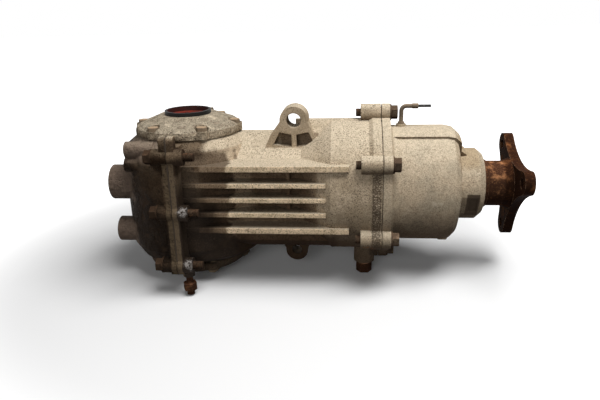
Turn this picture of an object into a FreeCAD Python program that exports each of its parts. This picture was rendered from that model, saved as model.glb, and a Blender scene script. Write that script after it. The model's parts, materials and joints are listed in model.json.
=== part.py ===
import FreeCAD, Part
import math
import os
import re
import Sketcher
from FreeCAD import Placement, Rotation, Vector

# Rear final drive of an all-wheel-drive car with its clutch coupling, lying on its side.
# The origin is the centre of the companion flange's outer face. +X runs along the pinion
# axis out of the flange and +Z along the axle axis towards the visible output seal.

doc = FreeCAD.newDocument("RearDifferential")
sheet = doc.addObject("Spreadsheet::Sheet", "Sizes")

SIZES = [
    # Companion flange and its shaft
    ("flange_thick", 10.0), ("hole_circle", 50.0), ("flange_hole", 5.2), ("arm_tip", 12.0),
    ("arm_waist", 27.0), ("arm_turn", 17.0), ("hub_radius", 24.0), ("hub_flare", 8.0),
    ("nut_recess", 19.0), ("recess_depth", 12.0), ("spline_radius", 11.0), ("nut_size", 14.0),
    ("nut_height", 9.0), ("deflector_radius", 26.8),
    # Coupling cover, from the flange face backwards
    ("nose_face", 40.0), ("nose_length", 26.5), ("nose_radius", 37.6), ("can_radius", 60.0),
    ("can_length", 70.0), ("can_wall", 5.0), ("can_corner", 13.0), ("band_height", 2.5),
    ("band_half_angle", 25.0), ("ring_radius", 73.0), ("ring_thick", 9.0), ("gasket_thick", 0.8),
    ("vent_place", 12.0), ("vent_height", 83.3), ("joint_circle", 77.0), ("joint_boss", 9.0),
    ("joint_bolt", 4.0),
    # Front seal and ball bearing
    ("front_seal_width", 8.0), ("front_bearing_outer", 31.0), ("front_bearing_bore", 17.5),
    ("front_bearing_width", 16.0), ("front_ball", 4.4),
    # Clutch coupling
    ("drum_radius", 49.0), ("drum_wall", 4.0), ("drum_end", 140.0), ("plate_thick", 1.6),
    ("plate_pitch", 3.6), ("plate_count", 5.0), ("clutch_hub", 25.0), ("stack_start", 88.0),
    ("cam_travel", 0.8), ("cam_ball", 2.8), ("cam_circle", 21.0), ("coil_front", 150.0),
    ("coil_length", 16.0), ("coil_outer", 46.0), ("coil_inner", 30.0),
    # Carrier casting
    ("bell_radius", 70.0), ("bell_length", 42.0), ("bell_cone", 33.0), ("waist_radius", 64.0),
    ("waist_drop", 5.0), ("waist_half_width", 46.0), ("waist_wall", 6.0), ("gable_top", 58.0),
    ("gable_shoulder", 30.0), ("gable_ridge", 6.0), ("ridge_height", 70.5), ("ridge_foot", 50.0),
    ("rib_reach", 68.0), ("rib_thick", 4.4), ("edge_rib_thick", 5.6), ("top_rib", 34.2),
    ("upper_rib", 17.0), ("middle_rib", 1.8), ("lower_rib", -13.7), ("bottom_rib", -30.5),
    ("long_rib_end", 178.0), ("short_rib_end", 201.0), ("cross_rib_place", 241.0),
    ("cross_rib_reach", 54.0), ("cross_rib_thick", 3.5),
    # Mounting lugs
    ("lug_place", 235.0), ("lug_height", 73.4), ("lug_radius", 14.5), ("lug_hole", 7.5),
    ("lug_front", 24.0), ("lug_width", 22.0), ("lug_foot", 34.0), ("lug_leg", 36.0),
    ("lug_shoulder", 24.0), ("pocket_depth", 12.0), ("pocket_low", 46.0), ("lower_lug", 70.0),
    ("lower_lug_radius", 12.0), ("lower_lug_leg", 24.0), ("drain_drop", 13.0), ("drain_side", 18.0),
    # Final drive housing
    ("axle_place", 351.0), ("housing_radius", 71.0), ("carrier_radius", 67.0), ("housing_wall", 5.0),
    ("top_face", 60.0),
    ("bottom_face", 76.0), ("flange_half_width", 85.0), ("flange_top", 57.0),
    ("flange_bottom", 72.0), ("rear_flange_thick", 7.0), ("through_bolt", 4.0),
    ("through_boss", 8.0), ("through_place", 80.0), ("boss_reach", 15.0), ("ear_height", 70.0),
    ("ear_width", 10.0),
    # Mounting bosses and knobs on the back of the rear cover
    ("big_boss", 18.5), ("big_boss_reach", 8.0), ("big_boss_height", 9.5), ("big_boss_thread", 5.5),
    ("small_boss", 13.5), ("small_boss_reach", 7.0), ("small_boss_height", -44.5),
    ("small_boss_thread", 4.2), ("boss_side", 28.0), ("thread_depth", 18.0), ("knob_radius", 8.5),
    ("knob_side", 50.0), ("knob_height", 50.0), ("knob_drop", 15.0), ("knob_reach", 53.0),
    ("filler_boss", 13.0), ("filler_side", 26.0), ("filler_height", -2.0), ("filler_thread", 9.0),
    ("filler_reach", 3.0),
    # Output retainers and seals
    ("retainer_radius", 56.0), ("retainer_plate", 7.0), ("dome_height", 11.0),
    ("seal_radius", 24.5), ("seal_width", 12.0), ("seal_proud", 4.0), ("seal_lip", 17.5),
    ("retainer_circle", 50.0), ("retainer_bolt", 3.5),
    # Gear set
    ("pinion_teeth", 12.0), ("ring_teeth", 33.0), ("ring_pitch_radius", 58.0),
    ("face_width", 17.0), ("spiral_turn", 11.3), ("ring_back", 34.0), ("ring_bore", 38.0),
    ("ring_bolt_circle", 47.0), ("ring_bolt", 3.5),
    # Differential case and its bevel gears
    ("case_radius", 36.5), ("case_wall", 5.0), ("case_flange", 7.0), ("trunnion_radius", 17.5),
    ("side_teeth", 14.0), ("spider_teeth", 10.0), ("side_pitch_radius", 23.0),
    ("side_face", 9.5), ("cross_pin_radius", 6.0), ("side_bore", 12.0), ("lower_side_bore", 11.0),
    # Bearings of the pinion and of the case
    ("head_bearing_outer", 37.0), ("head_bearing_bore", 17.5), ("head_bearing_width", 18.0),
    ("head_bearing_place", 286.0), ("tail_bearing_outer", 34.0), ("tail_bearing_bore", 14.0),
    ("tail_bearing_width", 16.0), ("tail_bearing_place", 184.0), ("side_bearing_outer", 34.0),
    ("side_bearing_width", 16.0), ("roller_count", 14.0),
    # Fits
    ("press_gap", 0.02), ("running_gap", 0.05),
]

VALUE = {}
for row, (alias, size) in enumerate(SIZES, start=1):
    sheet.set(f"A{row}", alias)
    sheet.set(f"B{row}", str(size))
    sheet.setAlias(f"B{row}", alias)
    VALUE[alias] = size
doc.recompute()

NODES = []
ALONG = {
    "x": Rotation(Vector(0, 1, 0), 90),
    "-x": Rotation(Vector(0, 1, 0), -90),
    "y": Rotation(Vector(1, 0, 0), -90),
    "-y": Rotation(Vector(1, 0, 0), 90),
    "z": Rotation(),
    "-z": Rotation(Vector(1, 0, 0), 180),
}


def formula(text):
    """Point every size named in the text at its cell in the sheet."""
    return re.sub(r"[a-z_]+", lambda m: f"Sizes.{m[0]}" if m[0] in VALUE else m[0], str(text))


def number(text):
    return float(sheet.evalExpression(formula(text)))


def bind(item, prop, text):
    item.setExpression(prop, formula(text))


def place(item, at, axis="z", turn=None):
    item.Placement = Placement(Vector(), turn if turn else ALONG[axis])
    for letter, text in zip("xyz", at):
        bind(item, f"Placement.Base.{letter}", text)
    return item


def rod(radius, length, at, axis="z"):
    item = doc.addObject("Part::Cylinder", "Rod")
    bind(item, "Radius", radius)
    bind(item, "Height", length)
    return place(item, at, axis)


def taper(radius1, radius2, length, at, axis="z", turn=None):
    item = doc.addObject("Part::Cone", "Taper")
    bind(item, "Radius1", radius1)
    bind(item, "Radius2", radius2)
    bind(item, "Height", length)
    return place(item, at, axis, turn)


def block(size, at, turn=None):
    item = doc.addObject("Part::Box", "Block")
    for prop, text in zip(("Length", "Width", "Height"), size):
        bind(item, prop, text)
    return place(item, at, turn=turn)


def hexagon(radius, length, at, axis="z"):
    item = doc.addObject("Part::Prism", "Hexagon")
    item.Polygon = 6
    bind(item, "Circumradius", radius)
    bind(item, "Height", length)
    return place(item, at, axis)


def ball(radius, at):
    item = doc.addObject("Part::Sphere", "Ball")
    bind(item, "Radius", radius)
    return place(item, at)


def fuse(items):
    if len(items) == 1:
        return items[0]
    item = doc.addObject("Part::MultiFuse", "Fuse")
    item.Shapes = items
    item.Refine = False
    return item


def build_up(items):
    """Fuse one after another, which holds where many near-tangent walls meet."""
    whole = items[0]
    for item in items[1:]:
        whole = fuse([whole, item])
    return whole


def cut(base, tools):
    item = doc.addObject("Part::Cut", "Cut")
    item.Base = base
    item.Tool = fuse(tools)
    item.Refine = False
    return item


def common(items):
    item = doc.addObject("Part::MultiCommon", "Common")
    item.Shapes = items
    return item


def group(items):
    item = doc.addObject("Part::Compound", "Group")
    item.Links = items
    return item


def node(label, item):
    item.Label = label
    NODES.append(item)
    return item


def outline(sketch, points):
    """Close a polygon through the points, each held by its own two distances."""
    spots = [Vector(number(a), number(b), 0) for a, b in points]
    for index, spot in enumerate(spots):
        sketch.addGeometry(Part.LineSegment(spots[index - 1], spot), False)
    for index, spot in enumerate(spots):
        following = (index + 1) % len(spots)
        sketch.addConstraint(Sketcher.Constraint("Coincident", index, 2, following, 1))
        for kind, axis, text in (("DistanceX", -2, points[index][0]), ("DistanceY", -1, points[index][1])):
            value = number(text)
            if abs(value) < 1e-9:
                sketch.addConstraint(Sketcher.Constraint("PointOnObject", index, 2, axis))
                continue
            row = sketch.addConstraint(Sketcher.Constraint(kind, -1, 1, index, 2, value))
            sketch.setExpression(f"Constraints[{row}]", formula(text))


def attach(body, sketch, role):
    plane = [f for f in body.Origin.OriginFeatures if f.Role == role][0]
    sketch.AttachmentSupport = [(plane, "")]
    sketch.MapMode = "FlatFace"


def turned(points, axis, at=(0, 0, 0), angle=360, turn=None):
    """Revolve points given as (along the axis, radius) about X or as (radius, height) about Z."""
    body = doc.addObject("PartDesign::Body", "Turned")
    sketch = body.newObject("Sketcher::SketchObject", "Profile")
    attach(body, sketch, "XZ_Plane")
    outline(sketch, points)
    feature = body.newObject("PartDesign::Revolution", "Turn")
    feature.Profile = sketch
    feature.ReferenceAxis = (sketch, ["H_Axis" if axis == "x" else "V_Axis"])
    feature.Angle = angle
    feature.Midplane = angle != 360
    return place(body, at, turn=turn)


def padded(points, role, length, at, midplane=False):
    body = doc.addObject("PartDesign::Body", "Padded")
    sketch = body.newObject("Sketcher::SketchObject", "Profile")
    attach(body, sketch, role)
    outline(sketch, points)
    feature = body.newObject("PartDesign::Pad", "Pad")
    feature.Profile = sketch
    bind(feature, "Length", length)
    feature.Midplane = midplane
    return place(body, at)


def round_spots(count, circle, start=0.0):
    """Positions on a circle about X, the angle counted from +Z."""
    spots = []
    for index in range(int(round(count))):
        angle = start + 360.0 / count * index
        spots.append((f"({circle}) * sin({angle} deg)", f"({circle}) * cos({angle} deg)"))
    return spots


def bolt(at, axis, radius, length, head_radius, head_height):
    """Hexagon bolt whose head sits on the point and whose shank runs along the axis."""
    opposite = axis[1:] if axis.startswith("-") else "-" + axis
    shank = rod(radius, length, at, axis)
    return fuse([shank, hexagon(head_radius, head_height, at, opposite)])


# Places along the pinion axis that several pieces share
CAN_END = "(nose_face + nose_length)"
JOINT = "(nose_face + nose_length + can_length + ring_thick)"
BEARING_BACK = "(nose_face + nose_length + 4.5)"
BELL_END = f"({JOINT} + ring_thick + bell_length)"


def companion_flange():
    tip = VALUE["arm_tip"]
    reach = VALUE["hole_circle"]
    waist = VALUE["arm_waist"]
    step = tip - waist
    away = (reach ** 2 - step ** 2) / (reach + 2 * step)
    hollow = away - waist
    edges = []
    for index in range(3):
        angle = math.radians(120 * index)
        centre = Vector(0, reach * math.cos(angle), reach * math.sin(angle))
        points = []
        for side in (-1, 1):
            other = math.radians(120 * index + 60 * side)
            far = Vector(0, away * math.cos(other), away * math.sin(other))
            points.append(centre + (far - centre).normalize() * tip)
        outer = centre + Vector(0, math.cos(angle), math.sin(angle)) * tip
        edges.append(Part.Arc(points[0], outer, points[1]).toShape())
        beside = math.radians(120 * index + 60)
        middle = Vector(0, waist * math.cos(beside), waist * math.sin(beside))
        following = math.radians(120 * (index + 1))
        next_centre = Vector(0, reach * math.cos(following), reach * math.sin(following))
        far = Vector(0, away * math.cos(beside), away * math.sin(beside))
        next_point = next_centre + (far - next_centre).normalize() * tip
        edges.append(Part.Arc(points[1], middle, next_point).toShape())
    face = Part.Face(Part.Wire(edges))
    arms = doc.addObject("Part::Feature", "Arms")
    arms.Shape = face.extrude(Vector(-VALUE["flange_thick"], 0, 0))
    arms.Placement = Placement(Vector(), Rotation(Vector(1, 0, 0), 180 - VALUE["arm_turn"]))
    hub = turned([
        ("-nose_face - 10", "spline_radius + running_gap"), ("-nose_face - 10", "hub_radius"),
        ("-flange_thick - hub_flare", "hub_radius"), ("-flange_thick", "hub_radius + 3"),
        ("0", "hub_radius + 3"), ("0", "nut_recess"), ("-recess_depth", "nut_recess"),
        ("-recess_depth", "spline_radius + running_gap")], "x")
    bore = rod("nut_recess", "recess_depth", ("-recess_depth", 0, 0), "x")
    inner = rod("spline_radius + running_gap", "flange_thick + 2", ("-flange_thick - 1", 0, 0), "x")
    holes = []
    for index in range(3):
        angle = f"({120 * index} deg + 1 deg * arm_turn)"
        at = ("-flange_thick - 1", f"-hole_circle * cos({angle})", f"hole_circle * sin({angle})")
        holes.append(rod("flange_hole", "flange_thick + 2", at, "x"))
    star = cut(arms, [bore, inner] + holes)
    node("companion_flange", fuse([star, hub]))
    deflector = turned([
        ("-nose_face + 1", "hub_radius + press_gap"), ("-nose_face + 1", "deflector_radius"),
        ("-nose_face + 2.5", "deflector_radius"), ("-nose_face + 5", "hub_radius + 1.2"),
        ("-nose_face + 5", "hub_radius + press_gap")], "x")
    node("dust_deflector", deflector)


def input_shaft():
    back = f"-{CAN_END} - 14.5"
    shaft = turned([
        (back, "0"), (back, "drum_radius - drum_wall + 1"), (f"{back} + 4", "drum_radius - drum_wall + 1"),
        (f"{back} + 4", "front_bearing_bore + 5"), (f"-{BEARING_BACK}", "front_bearing_bore + 5"),
        (f"-{BEARING_BACK}", "front_bearing_bore"), ("-nose_face - 10.3", "front_bearing_bore"),
        ("-nose_face - 10.3", "spline_radius"), ("-recess_depth", "spline_radius"),
        ("-recess_depth", "spline_radius - 3"), ("-2", "spline_radius - 3"), ("-2", "0")], "x")
    wall = turned([
        ("-drum_end", "drum_radius - drum_wall"), ("-drum_end", "drum_radius"),
        (f"{back} + 2", "drum_radius"), (f"{back} + 4", "drum_radius - 2"),
        (f"{back} + 4", "drum_radius - drum_wall")], "x")
    node("coupling_drum", fuse([shaft, wall]))
    blank = hexagon("nut_size", "nut_height", ("-recess_depth + 0.1", 0, 0), "x")
    washer = rod("nut_size + 2", "1.5", ("-recess_depth + 0.1", 0, 0), "x")
    hole = rod("spline_radius - 3 + running_gap", "nut_height + 2", ("-recess_depth - 1", 0, 0), "x")
    node("flange_nut", cut(fuse([blank, washer]), [hole]))


def front_bearing():
    back = f"-{BEARING_BACK}"
    front = f"-{BEARING_BACK} + front_bearing_width"
    middle = f"-{BEARING_BACK} + front_bearing_width / 2"
    circle = "(front_bearing_outer + front_bearing_bore) / 2"
    outer = turned([
        (back, "front_bearing_outer - 4"), (back, "front_bearing_outer - press_gap"),
        (front, "front_bearing_outer - press_gap"), (front, "front_bearing_outer - 4")], "x")
    inner = turned([
        (back, "front_bearing_bore + press_gap"), (back, "front_bearing_bore + 4"),
        (front, "front_bearing_bore + 4"), (front, "front_bearing_bore + press_gap")], "x")
    track = doc.addObject("Part::Torus", "Track")
    bind(track, "Radius1", circle)
    bind(track, "Radius2", "front_ball + 0.1")
    place(track, (middle, 0, 0), "x")
    node("front_bearing_outer_ring", cut(outer, [track]))
    track2 = doc.addObject("Part::Torus", "Track")
    bind(track2, "Radius1", circle)
    bind(track2, "Radius2", "front_ball + 0.1")
    place(track2, (middle, 0, 0), "x")
    node("front_bearing_inner_ring", cut(inner, [track2]))
    balls = [ball("front_ball", (middle, y, z)) for y, z in round_spots(11, circle)]
    node("front_bearing_balls", group(balls))
    ring = turned([
        (f"{front} + 0.1", "front_bearing_outer - 2.5"), (f"{front} + 0.1", "front_bearing_outer + 1.8"),
        (f"{front} + 1.7", "front_bearing_outer + 1.8"),
        (f"{front} + 1.7", "front_bearing_outer - 2.5")], "x")
    node("front_snap_ring", ring)
    seal_front = "-nose_face - 1"
    seal_back = "-nose_face - 1 - front_seal_width"
    seal = turned([
        (seal_back, "hub_radius + 3"), (seal_back, "front_bearing_outer - press_gap"),
        (seal_front, "front_bearing_outer - press_gap"), (seal_front, "hub_radius + running_gap"),
        (f"{seal_front} - 1.5", "hub_radius + running_gap"), (f"{seal_front} - 2", "hub_radius + 3")], "x")
    node("front_oil_seal", seal)


def cover_shape():
    end = f"-{CAN_END}"
    joint = f"-{JOINT} + gasket_thick / 2"
    ring_front = f"-{JOINT} + ring_thick"
    outer = turned([
        (joint, "0"), (joint, "ring_radius"), (ring_front, "ring_radius"),
        (ring_front, "can_radius + 6"), (f"{ring_front} + 3", "can_radius + 2"),
        (f"{ring_front} + 8", "can_radius"),
        (f"{end} - can_corner", "can_radius"),
        (f"{end} - can_corner * 0.5", "can_radius - can_corner * 0.13"),
        (f"{end} - can_corner * 0.13", "can_radius - can_corner * 0.5"),
        (end, "can_radius - can_corner"), (end, "nose_radius"),
        ("-nose_face - 6", "nose_radius"), ("-nose_face", "nose_radius - 5"), ("-nose_face", "0")], "x")
    band_profile = [
        (f"{ring_front} - 2", "can_radius - 4"), (f"{ring_front} - 2", "can_radius + band_height"),
        (f"{end} - can_corner", "can_radius + band_height"),
        (f"{end} - can_corner * 0.4", "can_radius - can_corner * 0.13 + band_height"),
        (f"{end} + band_height * 0.7", "can_radius - can_corner * 0.5 + band_height * 0.3"),
        (f"{end} + band_height", "can_radius - can_corner"), (f"{end} + band_height", "nose_radius + 6"),
        ("-nose_face - 18", "nose_radius + 1.5"), ("-nose_face - 18", "nose_radius - 3"),
        (f"{end} - can_corner", "nose_radius - 3")]
    top_band = turned(band_profile, "x", angle=2 * VALUE["band_half_angle"])
    low_profile = [
        (f"{end} - can_corner - 3", "can_radius - 4"), (f"{end} - can_corner - 3", "can_radius + 1"),
        (f"{end} - can_corner + 4", "can_radius + 1"), (f"{end} - can_corner + 9", "can_radius - 6")]
    low_band = turned(low_profile, "x", angle=56, turn=Rotation(Vector(1, 0, 0), 180))
    bosses = []
    for y, z in round_spots(6, "joint_circle"):
        bosses.append(rod("joint_boss", "ring_thick - gasket_thick / 2", (joint, y, z), "x"))
    vent_boss = rod("5", "7", (f"{ring_front} + vent_place", 0, "can_radius - 2"), "z")
    return outer, [top_band, low_band, vent_boss] + bosses


def coupling_cover():
    outer, extras = cover_shape()
    cavity = turned([
        (f"-{JOINT} - 1", "0"), (f"-{JOINT} - 1", "can_radius - can_wall"),
        (f"-{CAN_END} - can_corner", "can_radius - can_wall"),
        (f"-{CAN_END} - 9", "can_radius - can_corner"), (f"-{CAN_END} - 9", "front_bearing_outer - 3"),
        (f"-{BEARING_BACK}", "front_bearing_outer - 3"), (f"-{BEARING_BACK}", "front_bearing_outer"),
        (f"-{BEARING_BACK} + front_bearing_width", "front_bearing_outer"),
        (f"-{BEARING_BACK} + front_bearing_width", "front_bearing_outer + 2"),
        (f"-{BEARING_BACK} + front_bearing_width + 2", "front_bearing_outer + 2"),
        (f"-{BEARING_BACK} + front_bearing_width + 2", "front_bearing_outer"),
        ("-nose_face + 1", "front_bearing_outer"), ("-nose_face + 1", "0")], "x")
    pockets = []
    for angle in (-23, 203, 157):
        for start, length, depth, width in ((3, "nose_length - 5", 1.6, 26), (11, "8", 3.2, 17)):
            pocket = block((length, f"{depth} + 6", str(width)), (0, 0, 0))
            pocket.Placement = Placement(Vector(), Rotation(Vector(1, 0, 0), -angle))
            bind(pocket, "Placement.Base.x", f"-{CAN_END} + {start}")
            bind(pocket, "Placement.Base.y",
                 f"-(nose_radius + 6) * cos({angle} deg) - {width / 2} * sin({angle} deg)")
            bind(pocket, "Placement.Base.z",
                 f"(nose_radius + 6) * sin({angle} deg) - {width / 2} * cos({angle} deg)")
            pockets.append(pocket)
    holes = [rod("joint_bolt + 0.5", "ring_thick + 6", (f"-{JOINT} - 1", y, z), "x")
             for y, z in round_spots(6, "joint_circle")]
    pin_holes = [rod("3 + running_gap", "7", (f"-{JOINT} - 1", y, z), "x")
                 for y, z in round_spots(2, "joint_circle - 12", 30)]
    vent_hole = rod("2.2 + running_gap", "20",
                    (f"-{JOINT} + ring_thick + vent_place", 0, "can_radius - 8"), "z")
    node("coupling_cover", cut(fuse([outer] + extras), [cavity, vent_hole] + pockets + holes + pin_holes))
    ring = turned([
        (f"-{JOINT} - gasket_thick / 2", "can_radius - can_wall + 1"),
        (f"-{JOINT} - gasket_thick / 2", "ring_radius - 0.5"),
        (f"-{JOINT} + gasket_thick / 2", "ring_radius - 0.5"),
        (f"-{JOINT} + gasket_thick / 2", "can_radius - can_wall + 1")], "x")
    pin_cuts = [rod("3.3", "4", (f"-{JOINT} - 2", y, z), "x")
                for y, z in round_spots(2, "joint_circle - 12", 30)]
    bolt_cuts = [rod("joint_bolt + 0.8", "4", (f"-{JOINT} - 2", y, z), "x")
                 for y, z in round_spots(6, "joint_circle")]
    node("coupling_gasket", cut(ring, pin_cuts + bolt_cuts))
    pins = [rod("3", "10", (f"-{JOINT} - 5", y, z), "x") for y, z in round_spots(2, "joint_circle - 12", 30)]
    node("dowel_pins", group(pins))
    bolts = []
    for y, z in round_spots(6, "joint_circle"):
        at = (f"-{JOINT} + ring_thick", y, z)
        flange_ring = rod("joint_bolt + 4.3", "1.6", at, "x")
        bolts.append(fuse([bolt(at, "-x", "joint_bolt", "35", "joint_bolt + 3.2", "8"), flange_ring]))
    node("coupling_cover_bolts", group(bolts))


def breather():
    base = (f"-{JOINT} + ring_thick + vent_place", 0, "can_radius - 1")
    x = number(base[0])
    z = number("vent_height")
    low = number(base[2])
    bend = 5.0
    path = Part.Wire([
        Part.LineSegment(Vector(x, 0, low), Vector(x, 0, z - bend)).toShape(),
        Part.Arc(Vector(x, 0, z - bend), Vector(x + bend * (1 - math.cos(math.pi / 4)), 0,
                 z - bend + bend * math.sin(math.pi / 4)), Vector(x + bend, 0, z)).toShape(),
        Part.LineSegment(Vector(x + bend, 0, z), Vector(x + 17, 0, z)).toShape()])
    section = Part.Wire(Part.Circle(Vector(x, 0, low), Vector(0, 0, 1), 2.2).toShape())
    pipe = doc.addObject("Part::Feature", "Pipe")
    pipe.Shape = path.makePipeShell([section], True, False)
    collar = rod("3.4", "2", (base[0], 0, "can_radius + 5"), "z")
    sleeve = rod("2.7", "6", (f"{base[0]} + 11", 0, "vent_height"), "x")
    node("breather_pipe", fuse([pipe, collar, sleeve]))
    stub = rod("1.4", "13", (f"{base[0]} + 17", 0, "vent_height"), "x")
    node("vent_line_stub", stub)


def clutch():
    outer_plates = []
    inner_plates = []
    for index in range(int(VALUE["plate_count"])):
        x = f"-stack_start - plate_pitch * {2 * index} - plate_thick"
        outer_plates.append(turned([
            (x, "clutch_hub + 3"), (x, "drum_radius - drum_wall - 0.3"),
            (f"{x} + plate_thick", "drum_radius - drum_wall - 0.3"),
            (f"{x} + plate_thick", "clutch_hub + 3")], "x"))
        x = f"-stack_start - plate_pitch * {2 * index + 1} - plate_thick"
        inner_plates.append(turned([
            (x, "clutch_hub + 0.1"), (x, "drum_radius - drum_wall - 3"),
            (f"{x} + plate_thick", "drum_radius - drum_wall - 3"),
            (f"{x} + plate_thick", "clutch_hub + 0.1")], "x"))
    node("outer_clutch_plates", group(outer_plates))
    node("inner_clutch_plates", group(inner_plates))
    last = "(stack_start + plate_pitch * plate_count * 2)"
    hub = turned([
        ("-stack_start + 2", "tail_bearing_bore - 1.5 + press_gap"), ("-stack_start + 2", "clutch_hub"),
        (f"-{last} - 2", "clutch_hub"), (f"-{last} - 2", "tail_bearing_bore - 1.5 + press_gap")], "x")
    node("clutch_hub", hub)
    cam = turned([
        (f"-{last} - 8.5", "tail_bearing_bore - 1.5 + running_gap"),
        (f"-{last} - 8.5", "drum_radius - drum_wall - 1"),
        (f"-{last} - cam_travel - 0.2", "drum_radius - drum_wall - 1"),
        (f"-{last} - cam_travel - 0.2", "clutch_hub + 4"),
        (f"-{last} - 3.5", "clutch_hub + 4"),
        (f"-{last} - 3.5", "tail_bearing_bore - 1.5 + running_gap")], "x")
    node("pressure_cam", cam)
    balls = []
    for y, z in round_spots(6, "cam_circle"):
        balls.append(ball("cam_ball", (f"-{last} - 8.6 - cam_ball", y, z)))
    node("cam_balls", group(balls))
    pilot = turned([
        (f"-{last} - 13.3 - 2 * cam_ball", "tail_bearing_bore - 1.5 + running_gap"),
        (f"-{last} - 13.3 - 2 * cam_ball", "clutch_hub + 4"),
        (f"-{last} - 8.7 - 2 * cam_ball", "clutch_hub + 4"),
        (f"-{last} - 8.7 - 2 * cam_ball", "tail_bearing_bore - 1.5 + running_gap")], "x")
    node("pilot_cam", pilot)
    armature = turned([
        ("-drum_end - 7", "clutch_hub + 5"), ("-drum_end - 7", "coil_outer - 2"),
        ("-drum_end - 3", "coil_outer - 2"), ("-drum_end - 3", "clutch_hub + 5")], "x")
    node("armature", armature)
    coil = turned([
        ("-coil_front - coil_length", "coil_inner"), ("-coil_front - coil_length", "coil_outer"),
        ("-coil_front", "coil_outer"), ("-coil_front", "coil_outer - 3"),
        ("-coil_front - 1.5", "coil_outer - 3"),
        ("-coil_front - 1.5", "coil_inner + 3"), ("-coil_front", "coil_inner + 3"),
        ("-coil_front", "coil_inner")], "x")
    node("magnet_coil", coil)


# Bevel gears: cone angles and tooth proportions that both gears of a pair share
def pair_angle(teeth, mate_teeth):
    return math.atan2(teeth, mate_teeth)


def bevel_gear(teeth, mate_teeth, outer_cone, face, turn_over_face, hand, slack):
    """Teeth and root cone about +Z with the apex at the origin and the gear on the +Z side."""
    pitch = pair_angle(teeth, mate_teeth)
    module = 2 * outer_cone * math.sin(pitch) / teeth
    rise = 0.80 * module / outer_cone
    fall = 1.08 * module / outer_cone
    lean = math.tan(math.radians(22.5)) / math.sin(pitch)
    half = math.pi / (2 * teeth) * (1 - slack)
    tip_half = half - rise * lean
    root_half = half + (fall + 0.02) * lean
    stations = 4 if turn_over_face else 2
    solids = []
    for index in range(teeth):
        wires = []
        for station in range(stations):
            share = station / (stations - 1)
            cone = outer_cone - face * (1 - share)
            middle = 2 * math.pi * index / teeth + hand * turn_over_face * (share - 0.5)
            corners = []
            for polar, offset in ((pitch - fall - 0.02, -root_half), (pitch + rise, -tip_half),
                                  (pitch + rise, tip_half), (pitch - fall - 0.02, root_half)):
                angle = middle + offset
                radius = cone * math.sin(polar)
                corners.append(Vector(radius * math.cos(angle), radius * math.sin(angle),
                                      cone * math.cos(polar)))
            wires.append(Part.makePolygon(corners + corners[:1]))
        solids.append(Part.makeLoft(wires, True, True))
    root = pitch - fall
    inner = outer_cone - face
    return solids, root, inner


def gear_solid(solids, profile):
    edges = Part.makePolygon([Vector(r, 0, z) for r, z in profile + profile[:1]])
    blank = Part.Face(edges).revolve(Vector(), Vector(0, 0, 1), 360)
    return blank.fuse(solids).removeSplitter()


def cone_point(cone, polar):
    return (cone * math.sin(polar), cone * math.cos(polar))


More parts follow.
